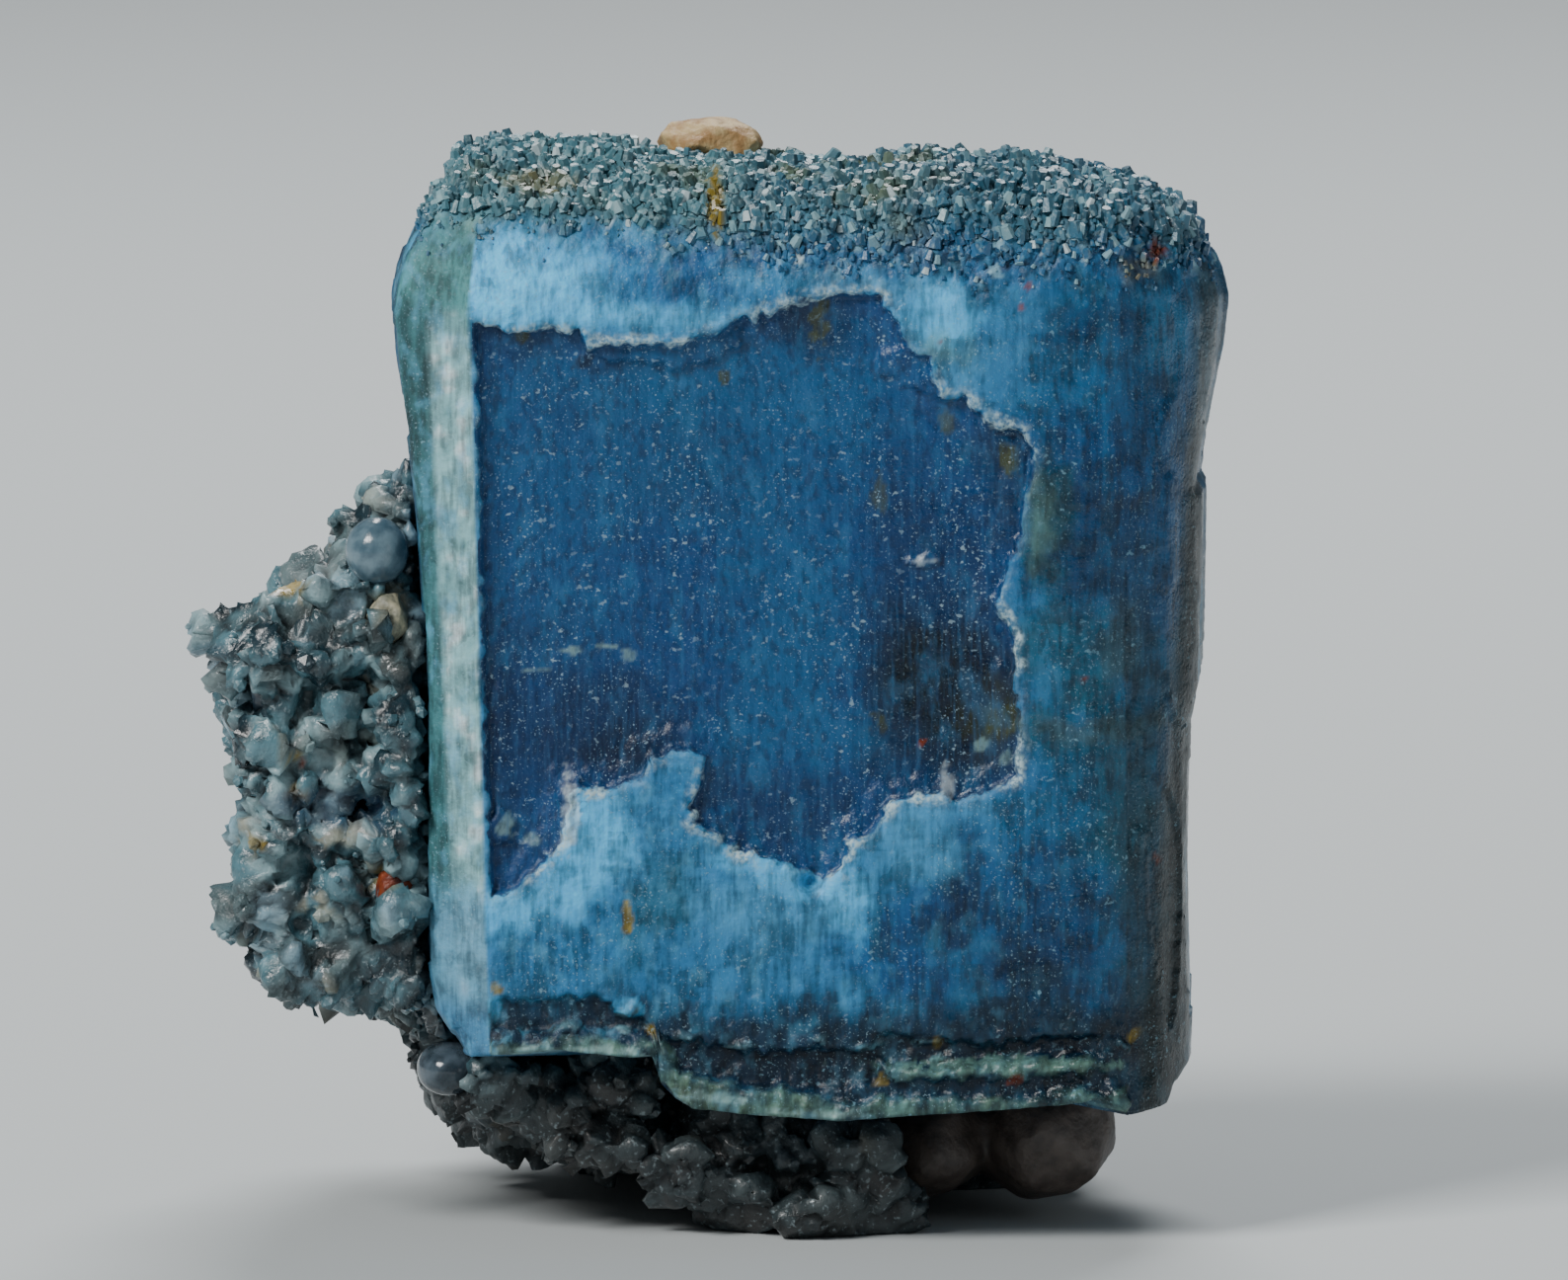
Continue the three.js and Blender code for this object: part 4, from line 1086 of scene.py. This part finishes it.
def beryl():
    """Clear inside the window's rim, clouded outside it, and as dull as the frosting says."""
    f = Finish("beryl")
    frost = f.attribute("frost", "Fac")
    teeth = f.math("MULTIPLY_ADD", f.noise(0.09, (1, 1, 1.4), 4.0), 0.12, -0.06)
    edge_line = f.math("ADD", f.attribute("rim", "Fac"), teeth)
    window = f.slope(edge_line, -0.015, 0.02)
    clump = f.slope(f.noise(0.8, (1, 1, 1.6), 3.0), 0.4, 0.62, 0.25, 1.0)
    # Painted glints and glint flecks: small sparkles painted into the colour, gathered in clumps.
    glints = f.math("MULTIPLY", f.slope(f.noise(0.035, (1, 1, 1), 2.0), 0.62, 0.7), clump)
    glint_flecks = f.math("MULTIPLY", f.slope(f.noise(0.1, (1, 1, 0.8), 3.0), 0.63, 0.7), clump)
    skin = clouded_beryl(f, frost, glints, glint_flecks)
    clear = clear_beryl(f, glints, glint_flecks)
    rim_line, lit_edge = lit_rim(f, edge_line)
    colour = f.lay(f.mix(window, skin, clear), tone(190, 218, 226), lit_edge)

    skin_frost = f.math("MULTIPLY", frost, f.slope(window, 0.0, 1.0, 1.0, 0.7))
    frosting = f.math("MAXIMUM", skin_frost, rim_line)
    dust = f.slope(f.noise(0.5, (1, 1, 1), 3.0), 0.3, 0.7, -0.05, 0.08)
    roughness = f.math("ADD", f.slope(frosting, 0.0, 1.0, 0.28, 0.6), dust)
    grit = f.math("MULTIPLY", f.noise(0.06, (1, 1, 1), 3.0), f.slope(frosting, 0.0, 1.0, 0.7, 1.0))
    normal = f.bump(f.math("ADD", grit, f.math("MULTIPLY", window, -0.2)), 0.03, 0.7)
    return f.finish(
        Base_Color=colour, Roughness=roughness, Normal=normal, IOR=BERYL_IOR,
        Transmission_Weight=0.12, Specular_IOR_Level=0.28, **BERYL_SCATTER,
    )


crystal = make_mesh(
    "beryl_prism", all_points, quads + fans, {"skin": crystal_skin, "clear": crystal_clear},
    {"frost": crystal_frost, "rim": in_window, "lit": lit, "crust": crystal_crust},
)
crystal.data.materials.append(beryl())
print("crystal triangles:", triangles(crystal))

# %% [markdown]
# The top of the prism ended its growth in thousands of tiny crystals, each a stubby six-sided
# column like the large one. Modelling them by hand is hopeless, but they follow a rule: they
# stand upright on the crust, each with its own size and a slight lean. That is a task for
# Geometry Nodes. The tree scatters points where the crust mask is strong, puts a small column on
# each, gives each column a random number that later tints it, and ends in real mesh.

# %% A node tree that makes grains
GRAIN_INPUTS = {
    "Geometry": "Geometry", "Grains": "Float", "Mask": "String", "Smallest": "Float",
    "Largest": "Float", "Stretch": "Vector", "Turn": "Vector", "Seed": "Int", "Material": "Material",
}
SHRUNK = 0.25  # share of its size that a grain keeps where the mask runs out


def grain_tree(name, shape, shape_inputs):
    """A node tree that covers a surface with grains; its named inputs set their number and size."""
    tree = bpy.data.node_groups.new(name, "GeometryNodeTree")
    for title, kind in GRAIN_INPUTS.items():
        tree.interface.new_socket(title, in_out="INPUT", socket_type="NodeSocket" + kind)
    tree.interface.new_socket("Geometry", in_out="OUTPUT", socket_type="NodeSocketGeometry")

    def put(kind, inputs=None, **settings):
        return put_node(tree, kind, inputs, settings)

    given = put("NodeGroupInput").outputs
    mask = put("GeometryNodeInputNamedAttribute", {"Name": given["Mask"]}, data_type="FLOAT").outputs[0]
    amount = put("ShaderNodeMath", {0: mask, 1: given["Grains"]}, operation="MULTIPLY").outputs[0]
    spots = put("GeometryNodeDistributePointsOnFaces",
                {"Mesh": given["Geometry"], "Density": amount, "Seed": given["Seed"]})
    back_turn = put("ShaderNodeVectorMath", {0: given["Turn"], 1: (-1, -1, -1)}, operation="MULTIPLY")
    turn = put("FunctionNodeRandomValue", {0: back_turn.outputs[0], 1: given["Turn"], "Seed": 2},
               data_type="FLOAT_VECTOR")
    luck = put("FunctionNodeRandomValue", {"Seed": 3}, data_type="FLOAT").outputs[1]
    luck = put("ShaderNodeMath", {0: luck, 1: 2.0}, operation="POWER").outputs[0]
    wide = put("ShaderNodeMapRange",
               {"Value": luck, "To Min": given["Smallest"], "To Max": given["Largest"]})
    fading = put("ShaderNodeMapRange", {"Value": mask, "To Min": SHRUNK}).outputs["Result"]
    wide = put("ShaderNodeMath", {0: wide.outputs["Result"], 1: fading}, operation="MULTIPLY").outputs[0]
    uneven = put("FunctionNodeRandomValue", {0: (0.7, 0.7, 0.7), 1: given["Stretch"], "Seed": 5},
                 data_type="FLOAT_VECTOR").outputs[0]
    size = put("ShaderNodeVectorMath", {0: uneven, "Scale": wide}, operation="SCALE")
    grain = put(shape, shape_inputs)
    placed = put("GeometryNodeInstanceOnPoints", {
        "Points": spots.outputs["Points"], "Instance": grain.outputs["Mesh"],
        "Rotation": turn.outputs[0], "Scale": size.outputs[0],
    })
    number = put("FunctionNodeRandomValue", {"Seed": 4}, data_type="FLOAT")
    kept = put("GeometryNodeStoreNamedAttribute",
               {"Geometry": placed.outputs[0], "Name": "number", "Value": number.outputs[1]},
               data_type="FLOAT", domain="INSTANCE")
    real = put("GeometryNodeRealizeInstances", {"Geometry": kept.outputs[0]})
    dressed = put("GeometryNodeSetMaterial", {"Geometry": real.outputs[0], "Material": given["Material"]})
    connect(tree, put("NodeGroupOutput").inputs[0], dressed.outputs[0])
    return tree


# %% Run a grain tree on a surface
def scatter(name, surface, tree, values):
    """Run the tree on a surface's mesh. Gives the plain grain object, its points and grain numbers."""
    carrier = add_object(name + "_carrier", surface.data.copy())
    modifier = carrier.modifiers.new("grains", "NODES")
    modifier.node_group = tree
    for item in tree.interface.items_tree:
        if item.in_out == "INPUT" and item.name in values:
            modifier[item.identifier] = values[item.name]
    mesh = settle(carrier)
    mesh.name = name
    made = add_object(name, mesh)
    mesh.polygons.foreach_set("use_smooth", [False] * len(mesh.polygons))
    spots = read_rows(mesh.vertices, "co", 3) / MM - ZERO
    numbers = read_rows(mesh.attributes["number"].data, "value", 1)[:, 0]
    return made, spots, numbers


# %% The crust of small crystals
def sugar_finish():
    f = Finish("beryl_crust")
    pale = f.slope(f.noise(0.08, (1, 1, 1), 3.0), 0.5, 0.75, 0.0, 0.5)
    bright = f.lay(f.attribute("tint"), tone(176, 202, 204), pale)
    normal = f.bump(f.noise(0.05, (1, 1, 1), 3.0), 0.015, 0.6)
    return f.finish(
        Base_Color=bright, Roughness=0.34, Normal=normal, IOR=BERYL_IOR, Transmission_Weight=0.15,
        Specular_IOR_Level=0.35,
    )


column_tree = grain_tree("upright_columns", "GeometryNodeMeshCone", {
    "Vertices": 6, "Radius Top": 0.62, "Radius Bottom": 1.0, "Depth": 2.0,
})
sugar_piece, sugar_points, sugar_numbers = scatter("beryl_crust", crystal, column_tree, {
    "Grains": 92.0 / MM**2, "Mask": "crust", "Smallest": 0.035 * MM, "Largest": 0.115 * MM,
    "Stretch": (1.2, 1.2, 1.1), "Turn": (0.55, 0.55, 3.1), "Seed": 7, "Material": sugar_finish(),
})
store_colour(sugar_piece.data, "tint", sugar_look(sugar_points, sugar_numbers))
print("crust triangles:", triangles(sugar_piece))

# %% [markdown]
# The rock is an aggregate of interlocking grains: glassy grey-blue quartz, a little cream
# feldspar and gaps between them. The solid model has its large lumps. A fine copy of that solid,
# made by a voxel remesh, is pushed in and out by grain noise, so that every grain gets a
# flat leaning top and a crack round it, with painted shade in the crack.

# %% A fine copy of a solid part
SAME_POINT = 1e-7  # points of the solid closer than this are one point, in metres


def fine_copy(node, voxel, soften=2):
    """Points (crystal millimetres), normals and faces of a solid, remeshed to even small quads."""
    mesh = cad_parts[node].data.copy()
    mesh.materials.clear()
    work = bmesh.new()
    work.from_mesh(mesh)
    bmesh.ops.remove_doubles(work, verts=work.verts, dist=SAME_POINT)
    bmesh.ops.scale(work, vec=(1 / MM,) * 3, verts=work.verts)
    work.to_mesh(mesh)
    work.free()
    copy = add_object("fine_copy", mesh)
    remesh = copy.modifiers.new("fine", "REMESH")
    remesh.mode = "VOXEL"
    remesh.voxel_size = voxel
    smooth = copy.modifiers.new("soft", "SMOOTH")
    smooth.iterations = soften
    result = settle(copy)
    spots, normals = read_rows(result.vertices, "co", 3), read_rows(result.vertices, "normal", 3)
    faces = [np.array([list(p.vertices) for p in result.polygons if len(p.vertices) == n]) for n in (3, 4)]
    bpy.data.meshes.remove(result)
    return spots - ZERO, normals, [f for f in faces if len(f)]


# %% [markdown]
# Each grain of the rock gets its colour from its own number, and wider stains lie over them.
# Low down, under the crystal, the rock is painted browner and darker as shade, and the cracks between its
# grains hold painted shade.

# %% Colour of the rock
QUARTZ = tone(84, 124, 136)
QUARTZ_PALE = tone(156, 188, 194)
QUARTZ_DARK = tone(28, 52, 62)
FELDSPAR = tone(150, 146, 124)
GAP_DARK = tone(12, 20, 24)
BROWN = tone(50, 44, 40)
YELLOW = tone(160, 134, 42)
DULL, SKY = tone(88, 92, 88), tone(150, 186, 204)
# Single grains and stains: colour, centre, half sizes, strength.
ROCK_MARKS = [
    (FELDSPAR, (-4.77, 9.15), (0.24, 0.26), 0.8), (YELLOW, (-6.25, 9.36), (0.22, 0.2), 0.85),
    (YELLOW, (-6.18, 7.0), (0.12, 0.1), 0.8), (RUST, (-6.04, 6.88), (0.07, 0.07), 0.85),
    (YELLOW, (-6.15, 6.45), (0.13, 0.12), 0.6), (YELLOW, (-6.71, 5.73), (0.12, 0.1), 0.7),
    (QUARTZ_PALE, (-6.4, 5.4), (0.32, 0.28), 0.75), (YELLOW, (-4.9, 5.26), (0.15, 0.1), 0.6),
    (NAVY, (-5.6, 6.25), (1.0, 0.25), 0.6),
]


def rock_look(p, number, gap):
    """Colour and shine of each point of the rock."""
    mottle = rough(p, 1.4, 401, 3)
    fine = rough(p, 0.25, 403, 3)
    colour = paint(QUARTZ, QUARTZ_PALE, ramp(number + 0.3 * fine, 0.6, 0.8) * 0.8)
    colour = paint(colour, QUARTZ_DARK, 1 - ramp(number + 0.3 * mottle, 0.22, 0.42))
    colour = paint(colour, FELDSPAR, ramp(number, 0.82, 0.86) * ramp(mottle, -0.1, 0.3) * 0.8)
    colour = paint(colour, DULL, ramp(cloud(p, 0.8, 405), 0.2, 0.5) * 0.6)
    colour = paint(colour, SKY, ramp(cloud(p, 0.6, 407) + 0.4 * fine, 0.45, 0.75) * 0.7)
    below = ramp(3.2 - p[:, 2] + 0.5 * mottle, 0, 1.2)
    # Painted shade low down under the crystal: browner and darker. The next line also adds random dark
    # patches.
    colour = paint(colour, BROWN, below * 0.75)
    colour = paint(colour, GAP_DARK, below * 0.3 + 0.35 * ramp(fine, 0.1, 0.7))
    # Painted shade in the cracks between the grains.
    colour = paint(colour, GAP_DARK, (1 - gap) * 0.8)
    colour = stain(colour, p, ROCK_MARKS, 430, 0.7, where=ramp(3.4 - p[:, 1], 0, 0.5))
    frost = np.clip(0.25 + 0.5 * ramp(number, 0.5, 1.0) + 0.3 * (1 - gap) + 0.3 * below, 0, 1)
    return colour, frost


# %% Relief of the rock
ROCK_VOXEL = 0.1
COARSE_GRAIN, FINE_GRAIN = 0.62, 0.3

rock_points, rock_normals, rock_faces = fine_copy("matrix_rock", ROCK_VOXEL)
warped = rock_points + 0.1 * np.column_stack([cloud(rock_points, 0.5, 411 + k) for k in range(3)])
coarse, coarse_gap, coarse_number = facets(warped, COARSE_GRAIN, 421, 0.8, 0.14)
small, small_gap, small_number = facets(warped, FINE_GRAIN, 423, 0.8, 0.2)
above_foot = ramp(rock_points[:, 2], 0.02, 0.35)  # the cut foot stays flat
lift = 0.28 * coarse + 0.09 * small + 0.02 * rough(rock_points, 0.12, 425, 2)
rock_points = rock_points + rock_normals * (lift * above_foot)[:, None]
rock_points[:, 2] = np.maximum(rock_points[:, 2], -ZERO[2])
rock_gap = np.minimum(coarse_gap, 0.4 + 0.6 * small_gap)
rock_colour, rock_frost = rock_look(rock_points, 0.6 * coarse_number + 0.4 * small_number, rock_gap)
print("rock points:", len(rock_points))

# %% The rock
def rock_material():
    f = Finish("rock")
    tint = f.attribute("tint")
    frost = f.attribute("frost", "Fac")
    specks = f.slope(f.noise(0.08, (1, 1, 1), 3.0), 0.58, 0.72)
    colour = f.lay(tint, tone(160, 178, 184), specks, 0.5)
    shade = f.slope(f.noise(0.3, (1, 1, 1), 5.0), 0.3, 0.55, 0.45, 0.0)
    colour = f.lay(colour, tone(18, 30, 36), shade)
    roughness = f.slope(frost, 0.0, 1.0, 0.12, 0.6)
    normal = f.bump(f.noise(0.06, (1, 1, 1), 4.0), 0.03, 0.7)
    return f.finish(
        Base_Color=colour, Roughness=roughness, Normal=normal, IOR=1.55,
        Coat_Weight=0.2, Coat_Roughness=0.1,
    )


rock = make_mesh(
    "matrix", rock_points, rock_faces, {"tint": rock_colour},
    {"frost": rock_frost, "crumbs": ramp(rock_points[:, 2], 0.4, 1.2) * ramp(rock_gap, 0.3, 0.9)},
)
rock.data.materials.append(rock_material())
print("rock triangles:", triangles(rock))

# %% [markdown]
# Loose-looking crumbs sit on the rock's skin. The same tree makes them, this time from the
# simplest ball, squeezed and turned at random, so that each crumb shows a few flat faces.

# %% Crumbs on the rock
crumb_tree = grain_tree("crumbs", "GeometryNodeMeshIcoSphere", {"Radius": 1.0, "Subdivisions": 1})
crumb_piece, crumb_points, crumb_numbers = scatter("matrix_crumbs", rock, crumb_tree, {
    "Grains": 3.5 / MM**2, "Mask": "crumbs", "Smallest": 0.03 * MM, "Largest": 0.14 * MM,
    "Stretch": (1.4, 1.4, 1.4), "Turn": (3.1, 3.1, 3.1), "Seed": 11, "Material": rock.data.materials[0],
})
crumb_colour, crumb_frost = rock_look(crumb_points, crumb_numbers, np.ones(len(crumb_points)))
store_colour(crumb_piece.data, "tint", crumb_colour)
store_number(crumb_piece.data, "frost", crumb_frost)
print("crumb triangles:", triangles(crumb_piece))

# %% [markdown]
# A few grains stand alone: two glassy beads, a block and a knob of quartz, cream feldspar, a
# rusty grain and the smooth brown lobes. Each starts as a fine copy of its solid too.

# %% Single grains
def single_material(name, tint, roughness, speck, bump, transmission):
    """A mottled mineral in two colours."""
    f = Finish(name)
    mottle = f.slope(f.noise(0.3, (1, 1, 1), 5.0), 0.35, 0.65)
    colour = f.mix(mottle, rgba(tint), rgba(speck))
    normal = f.bump(f.noise(0.1, (1, 1, 1), 4.0), bump, 0.8)
    return f.finish(Base_Color=colour, Roughness=roughness, Normal=normal, IOR=1.54,
                    Transmission_Weight=transmission)


# Tint, roughness, second colour, bump in mm, transmission.
GRAIN_FINISHES = {
    "quartz_bead_upper": (tone(124, 152, 166), 0.2, tone(78, 106, 122), 0.01, 0.3),
    "quartz_bead_lower": (tone(92, 108, 120), 0.14, tone(52, 66, 76), 0.006, 0.3),
    "quartz_block_left": (tone(92, 116, 136), 0.14, tone(48, 62, 78), 0.01, 0.1),
    "quartz_knob_left": (tone(84, 100, 104), 0.3, tone(46, 58, 60), 0.03, 0.0),
    "feldspar_grain_top": (tone(196, 172, 124), 0.6, tone(156, 120, 74), 0.05, 0.0),
    "feldspar_grain_left": (tone(182, 176, 148), 0.5, tone(120, 122, 108), 0.05, 0.0),
    "iron_grain": (tone(140, 62, 26), 0.5, tone(96, 40, 28), 0.05, 0.0),
    "feldspar_lobes": (tone(86, 76, 70), 0.5, tone(60, 52, 48), 0.03, 0.0),
}
RELIEF_SEED = 500
PLAIN_RELIEF = 0.035  # in mm, for the grains with no relief of their own in the next table
RELIEF = {"quartz_bead_upper": 0.01, "quartz_bead_lower": 0.01, "feldspar_lobes": 0.05}
singles = {}
for name, (tint, roughness, speck, bump, glass) in GRAIN_FINISHES.items():
    low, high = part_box(name)
    size = float(min(high[k] - low[k] for k in range(3))) / MM
    is_round = name in RELIEF
    p, n, faces = fine_copy(name, size / 22, 12 if is_round else 3)
    relief = RELIEF.get(name, PLAIN_RELIEF)
    p = p + n * (relief * rough(p, size * 0.35, RELIEF_SEED) + 0.4 * relief)[:, None]
    grain = make_mesh(name + "_fine", p, faces, {}, {})
    grain.data.materials.append(single_material(name, tint, roughness, speck, bump, glass))
    singles[name] = grain
print("single grains:", sorted(singles))

# %% [markdown]
# Every new piece takes the place of its solid and rides on the same body, so the model keeps
# its parts and its sizes.

# %% Put the pieces in place of the solids
replaced = {"beryl_crystal": crystal, "matrix_rock": rock, **singles}
for piece, slot in ((sugar_piece, "beryl"), (crumb_piece, "matrix")):
    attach(piece, "root")
for node, piece in replaced.items():
    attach(piece, "root")
    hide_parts(node)

# %% [markdown]
# The stage is a plain pale floor. The camera stands far off with a long lens, as a macro lens
# sees a small stone, and looks a little down. A large soft light from the upper left gives the
# long highlights, and weaker ones fill the right side and draw the top edge.

# %% Stage, camera and light
AIM = (np.array([0.83, 0.0, 8.76]) + ZERO) * MM
CAMERA_AWAY = 0.3
CAMERA_RISE = math.radians(7)
FIELD_WIDTH = 22.3 * MM
SENSOR = 36.0
FLOOR_WIDTH = 3.0

bpy.ops.mesh.primitive_plane_add(size=FLOOR_WIDTH)
floor = bpy.context.object
floor.name = "floor"
floor.data.materials.append(Finish("floor").finish(Base_Color=rgba(tone(196, 202, 204)), Roughness=0.85))

camera = add_object("camera", bpy.data.cameras.new("camera"))
camera.location = AIM + CAMERA_AWAY * np.array([0, -math.cos(CAMERA_RISE), math.sin(CAMERA_RISE)])
camera.rotation_euler = (math.pi / 2 - CAMERA_RISE, 0, 0)
camera.data.sensor_width = SENSOR
camera.data.lens = SENSOR * CAMERA_AWAY / FIELD_WIDTH
camera.data.clip_start = 0.01
bpy.context.scene.camera = camera
print("lens, mm:", round(camera.data.lens))

# %% Lights
# Place and size in metres, power in watts, colour.
LIGHTS = {
    "key": ((-0.15, -0.15, 0.19), 0.09, 0.78, (1.0, 0.98, 0.95)),
    "fill": ((0.2, -0.14, 0.08), 0.12, 0.04, (0.9, 0.96, 1.0)),
    "rim": ((0.02, 0.14, 0.18), 0.1, 0.4, (1.0, 1.0, 1.0)),
}
WORLD_COLOUR = (0.72, 0.78, 0.82, 1.0)
WORLD_STRENGTH = 0.17

for name, (place, size, power, colour) in LIGHTS.items():
    light = add_object(name, bpy.data.lights.new(name, "AREA"))
    light.data.size = size
    light.data.energy = power
    light.data.color = colour
    light.location = place
    way = Vector(AIM) - Vector(place)
    light.rotation_euler = way.to_track_quat("-Z", "Y").to_euler()
world = bpy.data.worlds.new("studio")
world.use_nodes = True
background = world.node_tree.nodes["Background"]
background.inputs["Color"].default_value = WORLD_COLOUR
background.inputs["Strength"].default_value = WORLD_STRENGTH
bpy.context.scene.world = world
print("lights:", sorted(LIGHTS))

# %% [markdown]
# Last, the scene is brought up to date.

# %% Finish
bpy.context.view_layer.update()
